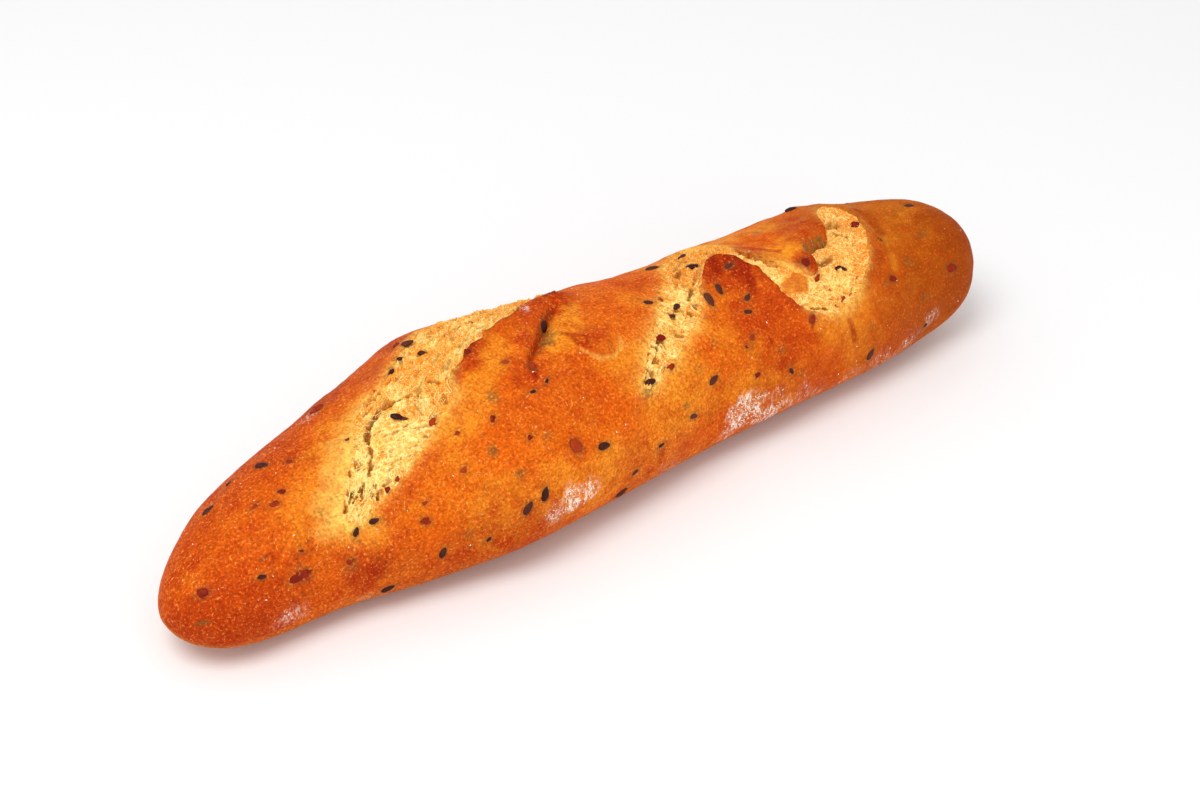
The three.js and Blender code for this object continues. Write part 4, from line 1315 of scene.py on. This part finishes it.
def seed_tree(name, material, sizes):
    """One seed on each mark: long along its own X, narrower towards one end by the taper."""
    tree, given = new_tree(name, sizes)
    ball = add(tree, "GeometryNodeMeshUVSphere", {"Segments": 14, "Rings": 10, "Radius": 0.5})
    parts = add(tree, "ShaderNodeSeparateXYZ", {0: add(tree, "GeometryNodeInputPosition")}).outputs
    narrowing = add(tree, "ShaderNodeMath", {0: parts[0], 1: given["Taper"]}, operation="MULTIPLY")
    kept = add(tree, "ShaderNodeMath", {0: 1.0, 1: narrowing}, operation="SUBTRACT")
    sides = {0: parts[0]}
    for axis, share in ((1, given["Width"]), (2, given["Thickness"])):
        wide = add(tree, "ShaderNodeMath", {0: kept, 1: share}, operation="MULTIPLY")
        sides[axis] = add(tree, "ShaderNodeMath", {0: parts[axis], 1: wide}, operation="MULTIPLY")
    shaped = add(tree, "ShaderNodeCombineXYZ", sides)
    seed = add(tree, "GeometryNodeSetPosition", {"Geometry": ball, "Position": shaped})
    seeds = on_marks(tree, given["Geometry"], seed)
    return closing(tree, shaken(tree, seeds, given["Roughened"], 1.3), material)


def strand_tree(name, material, sizes):
    """One thread of gluten on each mark, spanning its own X in a low arch."""
    tree, given = new_tree(name, sizes)
    peak = add(tree, "ShaderNodeCombineXYZ", {2: given["Arch"]})
    ends = {"Resolution": 10, "Start": (-0.5, 0.0, -0.1), "Middle": peak, "End": (0.5, 0.0, -0.1)}
    arch = add(tree, "GeometryNodeCurveQuadraticBezier", ends)
    threads = shaken(tree, on_marks(tree, given["Geometry"], arch), given["Unevenness"], 2.2)
    around = add(tree, "GeometryNodeCurvePrimitiveCircle", {"Resolution": 5, "Radius": given["Radius"]})
    values = {"Curve": threads, "Profile Curve": around, "Fill Caps": True}
    return closing(tree, add(tree, "GeometryNodeCurveToMesh", values), material)


def fleck_tree(name, material, sizes, seed):
    """Grains of flour and flecks of dry skin strewn over the crust, dense where its flour mask is, and
    fewer or none on the underside and on the pale skin beside the slashes."""
    tree, given = new_tree(name, sizes)
    flour, under, pale = (
        add(tree, "GeometryNodeInputNamedAttribute", {"Name": mask}, data_type="FLOAT")
        for mask in ("flour", "under", "pale")
    )
    thick = add(tree, "ShaderNodeMath", {0: flour, 1: flour}, operation="MULTIPLY")
    density = {0: thick, 1: given["Flour density"], 2: given["Fleck density"]}
    density = add(tree, "ShaderNodeMath", density, operation="MULTIPLY_ADD")
    spared = add(tree, "ShaderNodeMath", {0: under, 1: pale}, operation="MAXIMUM")
    dusted = add(tree, "ShaderNodeMath", {0: 1.0, 1: spared}, operation="SUBTRACT", use_clamp=True)
    density = add(tree, "ShaderNodeMath", {0: density, 1: dusted}, operation="MULTIPLY")
    values = {"Mesh": given["Geometry"], "Density": density, "Seed": seed}
    strewn = add(tree, "GeometryNodeDistributePointsOnFaces", values).outputs
    grain = add(tree, "GeometryNodeMeshIcoSphere", {"Radius": 0.5, "Subdivisions": 1})
    grain = add(tree, "GeometryNodeTransform", {"Geometry": grain, "Scale": (1.0, 0.5, 0.3)})
    spin = {"Min": (0.0, 0.0, 0.0), "Max": (0.0, 0.0, math.tau), "Seed": seed}
    spin = add(tree, "FunctionNodeRandomValue", spin, data_type="FLOAT_VECTOR")
    turned = {"Rotation": strewn["Rotation"], "Rotate By": spin}
    turned = add(tree, "FunctionNodeRotateRotation", turned, rotation_space="LOCAL")
    size = {"Min": given["Smallest"], "Max": given["Largest"], "Seed": seed + 1}
    size = add(tree, "FunctionNodeRandomValue", size, data_type="FLOAT")
    values = {"Points": strewn["Points"], "Instance": grain, "Rotation": turned, "Scale": size}
    placed = add(tree, "GeometryNodeInstanceOnPoints", values)
    return closing(tree, add(tree, "GeometryNodeRealizeInstances", {0: placed}), material)


def marks_mesh(name, marks, tints):
    """A mesh of one point for each mark: its place, its turn and its length, in metres, and its tint."""
    mesh = bpy.data.meshes.new(name)
    mesh.from_pydata([tuple(place) for place, _, _ in marks], [], [])
    turns = mesh.attributes.new("mark_turn", "FLOAT_VECTOR", "POINT")
    turns.data.foreach_set("vector", np.ravel([tuple(turn) for _, turn, _ in marks]))
    for label, values in (("mark_length", [length for _, _, length in marks]), ("seed_tint", tints)):
        layer = mesh.attributes.new(label, "FLOAT", "POINT")
        layer.data.foreach_set("value", np.asarray(values, np.float32))
    return mesh


def grow(name, mesh, tree):
    """Runs a tree on a mesh and keeps what comes out as a plain mesh."""
    carrier = bpy.data.objects.new(name + "_carrier", mesh)
    bpy.context.scene.collection.objects.link(carrier)
    modifier = carrier.modifiers.new("growth", "NODES")
    modifier.node_group = tree
    graph = bpy.context.evaluated_depsgraph_get()
    graph.update()
    result = bpy.data.meshes.new_from_object(carrier.evaluated_get(graph))
    bpy.data.objects.remove(carrier)
    result.name = name
    obj = bpy.data.objects.new(name, result)
    bpy.context.scene.collection.objects.link(obj)
    return obj


# The camera, and places on the loaf under a pixel


def camera_axes():
    """The camera's place in metres, and the ways it looks, right and up."""
    turn, elevation = math.radians(CAMERA_TURN), math.radians(CAMERA_ELEVATION)
    level = math.cos(elevation)
    look = Vector((math.sin(turn) * level, math.cos(turn) * level, -math.sin(elevation)))
    right = Vector((math.cos(turn), -math.sin(turn), 0.0))
    up = right.cross(look)
    eye = (Vector(CAMERA_TARGET) - look * CAMERA_DISTANCE) * MM
    return eye, look, right, up


def surface_tree():
    """The crust and the crumb together, for finding what lies under a pixel."""
    graph = bpy.context.evaluated_depsgraph_get()
    graph.update()
    return [BVHTree.FromObject(o, graph) for o in bpy.context.scene.objects if o.get("carries_seeds")]


def hit(trees, origin, way):
    """The first surface met from the origin: its place and its outward side."""
    best = None
    for tree in trees:
        place, normal, _, distance = tree.ray_cast(origin, way)
        if place is not None and (best is None or distance < best[2]):
            best = (place, normal, distance)
    return best


def seed_frame(normal, slope_way):
    """A seed's turn, with its long side along slope_way and its flat side down."""
    across = normal.cross(slope_way).normalized()
    along = across.cross(normal)
    return Matrix((along, across, normal)).transposed().to_euler("XYZ")


# A mark just past the outline is pulled towards the middle of the frame, a little more at each try, by these
# shares of the way across and down. A seed that faces away more than FACING allows is tipped to the camera.
PULLS = 12
PULL_ACROSS, PULL_DOWN = 0.004, 0.012
FACING = -0.75
TIPPED = 0.3


def under_pixel(trees, px, py, slope):
    """The place, outward side and long side of a mark seen at a pixel, moved onto the loaf if it lies just
    past the outline."""
    eye, look, right, up = camera_axes()
    for pull in range(PULLS):
        x = px + (IMAGE_WIDTH / 2 - px) * PULL_ACROSS * pull
        y = py + (IMAGE_HEIGHT / 2 - py) * PULL_DOWN * pull
        way = (look * FOCAL_PIXELS + right * (x - IMAGE_WIDTH / 2) - up * (y - IMAGE_HEIGHT / 2)).normalized()
        found = hit(trees, eye, way)
        if found:
            break
    else:
        raise RuntimeError(f"nothing lies under pixel {px}, {py}")
    from_axis = Vector((0.0, found[0].y, found[0].z - AXIS_HEIGHT * MM))
    place, normal = settled(trees, found[0], from_axis.normalized())
    if normal.dot(way) > FACING:
        normal = (normal - TIPPED * way).normalized()
    angle = math.radians(slope)
    drawn = right * math.cos(angle) + up * math.sin(angle)
    along = drawn - way * (drawn.dot(normal) / min(way.dot(normal), -0.2))
    return place, normal, along.normalized()


# Feelers find how the surface lies around a place: how many there are, how far from the place they come down
# by turns, how far above it they start, and how far from it they may land. Millimetres.
FEELERS = 12
FEELER_REACHES = (0.8, 1.8)
FEELER_HEIGHT = 5.0
FEELER_LIMIT = 3.2


def settled(trees, place, normal):
    """Where something a few millimetres wide comes to rest at a place on the surface, and its outward side.
    The normal given is only the loaf's own, and the surface's is found in two rounds."""
    for _ in range(2):
        side = normal.orthogonal().normalized()
        other = normal.cross(side)
        total = normal.copy()
        nearby = [place]
        for i in range(FEELERS):
            swing, reach = i * math.tau / FEELERS, FEELER_REACHES[i % 2] * MM
            start = place + (side * math.cos(swing) + other * math.sin(swing)) * reach
            found = hit(trees, start + normal * FEELER_HEIGHT * MM, -normal)
            close = found and (found[0] - place).length < FEELER_LIMIT * MM
            if close and found[1].dot(normal) > 0:
                total += found[1]
                nearby.append(found[0])
        normal = total.normalized()
    rise = np.percentile([(spot - place).dot(normal) for spot in nearby], 95)
    return place + normal * max(float(rise), 0.0), normal


SKIN_START = 14.0  # how far outside the plain loaf a line to its surface starts


def skin_place(trees, x, turn):
    """The place on the finished surface over a place on the skin, its outward side, and the ways along the
    loaf and around it."""
    row, swing = np.array([float(x)]), np.array([float(turn)])
    along, around, outward = (Vector(axis[0]) for axis in skin_axes(row, swing))
    start = Vector(plain_loaf(row, swing)[0]) * MM + outward * SKIN_START * MM
    found = hit(trees, start, -outward)
    if found is None:
        raise RuntimeError(f"no surface at x {x}, turn {turn}")
    return *settled(trees, found[0], outward), along, around


# The welt of crust around a seed, in millimetres: its height, how far out its crest lies and how wide it is.
WELT_HEIGHT, WELT_CREST, WELT_WIDTH = 0.22, 0.35, 0.7
BED_REACH = 3.0
# How far the crust next to a seed is darkened: its olive tint, and painted shade where seed and crust meet.
SEED_EDGE_SHADE = 0.6


def bed_seeds(mesh, beds):
    """Raises a low welt of crust around each seed, and darkens the crust next to it with the sunken-seed
    colour:
    its olive tint there, and painted shade where seed and crust meet.
    """
    points = np.empty(len(mesh.vertices) * 3, np.float32)
    mesh.vertices.foreach_get("co", points)
    points = points.reshape(-1, 3).astype(float)
    normals = np.empty(len(mesh.vertices) * 3, np.float32)
    mesh.vertex_normals.foreach_get("vector", normals)
    normals = normals.reshape(-1, 3)
    shown = np.empty(len(mesh.vertices), np.float32)
    layer = mesh.attributes["sunken_seed_and_shade"]
    layer.data.foreach_get("value", shown)
    moved = points.copy()
    for place, along, length, width in beds:
        away = points - np.array(place)
        near = np.flatnonzero(np.linalg.norm(away, axis=1) < length / 2 + BED_REACH * MM)
        along_it = away[near] @ np.array(along)
        beside = np.sqrt(np.maximum((away[near] ** 2).sum(1) - along_it**2, 0))
        distance = np.hypot(along_it / (length / 2), beside / (width / 2)) - 1
        gap = distance * width / 2 / MM
        welt = np.exp(-(((gap - WELT_CREST) / WELT_WIDTH) ** 2))
        moved[near] += normals[near] * (welt * WELT_HEIGHT * MM)[:, None]
        edge_shade = SEED_EDGE_SHADE * np.exp(-((np.maximum(gap, 0) / WELT_WIDTH) ** 2))
        shown[near] = np.maximum(shown[near], edge_shade)
    mesh.vertices.foreach_set("co", moved.ravel())
    layer.data.foreach_set("value", shown)
    mesh.update()


# Operators


class BAGUETTE_OT_crust(bpy.types.Operator):
    """Make the crust, which is the whole loaf but for the crumb in its slashes"""

    bl_idname = "baguette.crust"
    bl_label = "Crust"

    def execute(self, context):
        sizes, colours = context.scene.baguette_loaf, context.scene.baguette_colours
        skin, faces, masks = crust_skin(sizes.skin_spacing)
        crust = mesh_object("crust", skin, faces, masks)
        crust["carries_seeds"] = True
        finished(crust, baked_crust(colours, sizes.crust_grain))
        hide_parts("loaf")
        return {"FINISHED"}


class BAGUETTE_OT_crumb(bpy.types.Operator):
    """Make the torn crumb in each slash"""

    bl_idname = "baguette.crumb"
    bl_label = "Crumb"

    def execute(self, context):
        sizes, colours = context.scene.baguette_loaf, context.scene.baguette_colours
        material = torn_crumb(colours)
        for name in SLASHES:
            top, faces, masks = crumb_patch(name, sizes.crumb_spacing, sizes.pore)
            crumb = mesh_object("crumb_" + name, top, faces, masks)
            crumb["carries_seeds"] = True
            finished(crumb, material)
        return {"FINISHED"}


class BAGUETTE_OT_strands(bpy.types.Operator):
    """Draw the threads of gluten over the crumb"""

    bl_idname = "baguette.strands"
    bl_label = "Gluten threads"

    def execute(self, context):
        colours = context.scene.baguette_colours
        material = plain_dust("dried_gluten", colours.thread, 0.7)
        trees = surface_tree()
        rng = np.random.default_rng(71)
        marks = []
        for x, turn, radius, count, angle, length in STRAND_ZONES:
            for _ in range(count):
                swing, reach = rng.uniform(0, math.tau), radius * math.sqrt(rng.uniform())
                here_x = x + math.cos(swing) * reach
                here_turn = turn + math.sin(swing) * reach / MM_PER_DEGREE
                way = math.radians(angle + rng.normal(0, 30))
                long = length * rng.uniform(0.5, 1.2)
                run = np.array([math.cos(way), math.sin(way)]) * long / 2
                ends = plan(here_x, here_turn) + np.array([run, -run])
                if at_openings(ends)[0].min() < 0.5:
                    continue
                place, normal, along, around = skin_place(trees, here_x, here_turn)
                drawn = along * math.cos(way) + around * math.sin(way)
                marks.append((place, seed_frame(normal, drawn), long * MM))
        radius = 0.5 * context.scene.baguette_loaf.thread * MM
        sizes = {"Radius": radius, "Arch": 0.22, "Unevenness": 1.6 * MM}
        tree = strand_tree("gluten_threads", material, sizes)
        mesh = marks_mesh("thread_marks", marks, [0.0] * len(marks))
        finished(grow("gluten_threads", mesh, tree), material)
        return {"FINISHED"}


class BAGUETTE_OT_seeds(bpy.types.Operator):
    """Set the dark seeds and the toasted grain into the crust and the crumb"""

    bl_idname = "baguette.seeds"
    bl_label = "Seeds"

    def execute(self, context):
        colours, sizes = context.scene.baguette_colours, context.scene.baguette_seeds
        trees = surface_tree()
        dark = seed_coat("linseed_coat", colours.dark_seed, colours.dull_seed, 0.12, 0.4)
        bran = seed_coat("toasted_bran", colours.red_grain, colours.light_grain, 0.1, 0.45)
        dark_sizes = {"Taper": 0.45, "Width": sizes.width, "Thickness": sizes.thickness}
        dark_sizes["Roughened"] = 0.45 * MM
        bran_sizes = {"Taper": 0.2, "Width": 0.72, "Thickness": 0.26, "Roughened": 1.5 * MM}
        beds, taken = [], []
        for name, rows, loose, material, shape, seed in (
            ("linseed", DARK_SEEDS, LOOSE_DARK_SEEDS, dark, dark_sizes, 51),
            ("cracked_grain", RED_GRAINS, LOOSE_RED_GRAINS, bran, bran_sizes, 52),
        ):
            rng = np.random.default_rng(seed)
            placed = [(*under_pixel(trees, px, py, slope), length * MM) for px, py, slope, length in rows]
            while len(placed) < len(rows) + loose:
                found = self.loose_mark(trees, rng)
                if all((found[0] - other).length > LOOSE_GAP * MM for other in taken):
                    placed.append(found)
                    taken.append(found[0])
            marks = []
            for place, normal, along, length in placed:
                sunk = (0.5 - sizes.showing) * shape["Thickness"] * length
                marks.append((place - normal * sunk, seed_frame(normal, along), length))
                beds.append((place, along, length, length * shape["Width"]))
            mesh = marks_mesh(name + "_marks", marks, rng.uniform(0, 1, len(marks)))
            finished(grow(name, mesh, seed_tree(name, material, shape)), material)
        bed_seeds(bpy.data.objects["crust"].data, beds)
        return {"FINISHED"}

    def loose_mark(self, trees, rng):
        """A seed somewhere on the sides away from the camera."""
        eye = camera_axes()[0]
        while True:
            x, turn = rng.uniform(*LOOSE_X), -rng.uniform(*LOOSE_TURNS)
            place, normal, along, around = skin_place(trees, x, turn)
            if normal.dot((eye - place).normalized()) < -0.2:
                break
        swing = rng.uniform(0, math.tau)
        drawn = along * math.cos(swing) + around * math.sin(swing)
        return place, normal, drawn, rng.uniform(*LOOSE_LENGTHS) * MM


class BAGUETTE_OT_flour(bpy.types.Operator):
    """Strew grains of flour and flecks of dry skin over the crust"""

    bl_idname = "baguette.flour"
    bl_label = "Flour"

    def execute(self, context):
        colours, sizes = context.scene.baguette_colours, context.scene.baguette_seeds
        material = plain_dust("wheat_flour", colours.flour, 0.9)
        amounts = {
            "Flour density": sizes.flour_grains / MM**2,
            "Fleck density": sizes.flecks / MM**2,
            "Smallest": 0.25 * MM,
            "Largest": 0.85 * MM,
        }
        tree = fleck_tree("flour_grains", material, amounts, 81)
        finished(grow("flour_grains", bpy.data.objects["crust"].data, tree), material)
        return {"FINISHED"}


class BAGUETTE_OT_stage(bpy.types.Operator):
    """Make the floor, the lights and the camera"""

    bl_idname = "baguette.stage"
    bl_label = "Stage"

    def execute(self, context):
        scene, settings = context.scene, context.scene.baguette_stage
        reach = 4.0
        corners = [(-reach, -reach, 0), (reach, -reach, 0), (reach, reach, 0), (-reach, reach, 0)]
        floor = mesh_object("floor", np.array(corners) / MM, [[0, 1, 2, 3]])
        material, tree = new_material("matt_paper")
        shader = add(tree, "ShaderNodeBsdfPrincipled", {"Base Color": settings.floor, "Roughness": 0.95})
        add(tree, "ShaderNodeOutputMaterial", {"Surface": shader})
        floor.data.materials.append(material)

        world = bpy.data.worlds.new("studio")
        world.use_nodes = True
        world.node_tree.nodes.clear()
        white = {"Color": (1, 1, 1, 1), "Strength": settings.sky}
        even = add(world.node_tree, "ShaderNodeBackground", white)
        add(world.node_tree, "ShaderNodeOutputWorld", {"Surface": even})
        scene.world = world

        aim = Vector((0, 0, 0.02))
        for name, power, place in (
            ("key", settings.key_power, (-0.5, -0.2, 1.1)),
            ("fill", settings.fill_power, (0.05, -0.9, 0.3)),
        ):
            light = bpy.data.lights.new(name, "AREA")
            light.shape = "DISK"
            light.size = 0.7
            light.energy = power
            lamp = bpy.data.objects.new(name, light)
            lamp.location = place
            lamp.rotation_euler = (aim - lamp.location).to_track_quat("-Z", "Y").to_euler()
            scene.collection.objects.link(lamp)

        eye, look, right, up = camera_axes()
        camera = bpy.data.objects.new("camera", bpy.data.cameras.new("camera"))
        camera.data.sensor_width = SENSOR_MM
        camera.data.lens = SENSOR_MM * FOCAL_PIXELS / IMAGE_WIDTH
        camera.data.clip_end = 20.0
        camera.matrix_world = Matrix((right, up, -look)).transposed().to_4x4()
        camera.location = eye
        scene.collection.objects.link(camera)
        scene.camera = camera
        scene.view_settings.view_transform = "Standard"
        return {"FINISHED"}


class BAGUETTE_PT_panel(bpy.types.Panel):
    """The loaf's steps and settings"""

    bl_idname = "BAGUETTE_PT_panel"
    bl_label = "Baguette"
    bl_space_type = "VIEW_3D"
    bl_region_type = "UI"
    bl_category = "Baguette"

    def draw(self, context):
        for operator in OPERATORS:
            self.layout.operator(operator.bl_idname)
        for name, group in SETTINGS.items():
            box = self.layout.box()
            for key in group.__annotations__:
                box.prop(getattr(context.scene, name), key)


OPERATORS = (
    BAGUETTE_OT_crust,
    BAGUETTE_OT_crumb,
    BAGUETTE_OT_strands,
    BAGUETTE_OT_seeds,
    BAGUETTE_OT_flour,
    BAGUETTE_OT_stage,
)
SETTINGS = {
    "baguette_loaf": LoafSizes,
    "baguette_seeds": SeedSizes,
    "baguette_colours": BakeColours,
    "baguette_stage": StageSettings,
}


def register():
    """Registers the classes and hangs the settings on the scene."""
    for cls in (*SETTINGS.values(), *OPERATORS, BAGUETTE_PT_panel):
        bpy.utils.register_class(cls)
    for name, group in SETTINGS.items():
        setattr(bpy.types.Scene, name, bpy.props.PointerProperty(type=group))


def unregister():
    """Takes them off again."""
    for name in SETTINGS:
        delattr(bpy.types.Scene, name)
    for cls in reversed((*SETTINGS.values(), *OPERATORS, BAGUETTE_PT_panel)):
        bpy.utils.unregister_class(cls)


def main():
    """Makes the pieces in order."""
    register()
    bpy.ops.baguette.crust()
    bpy.ops.baguette.crumb()
    bpy.ops.baguette.strands()
    bpy.ops.baguette.seeds()
    bpy.ops.baguette.flour()
    bpy.ops.baguette.stage()


if __name__ == "__main__":
    main()
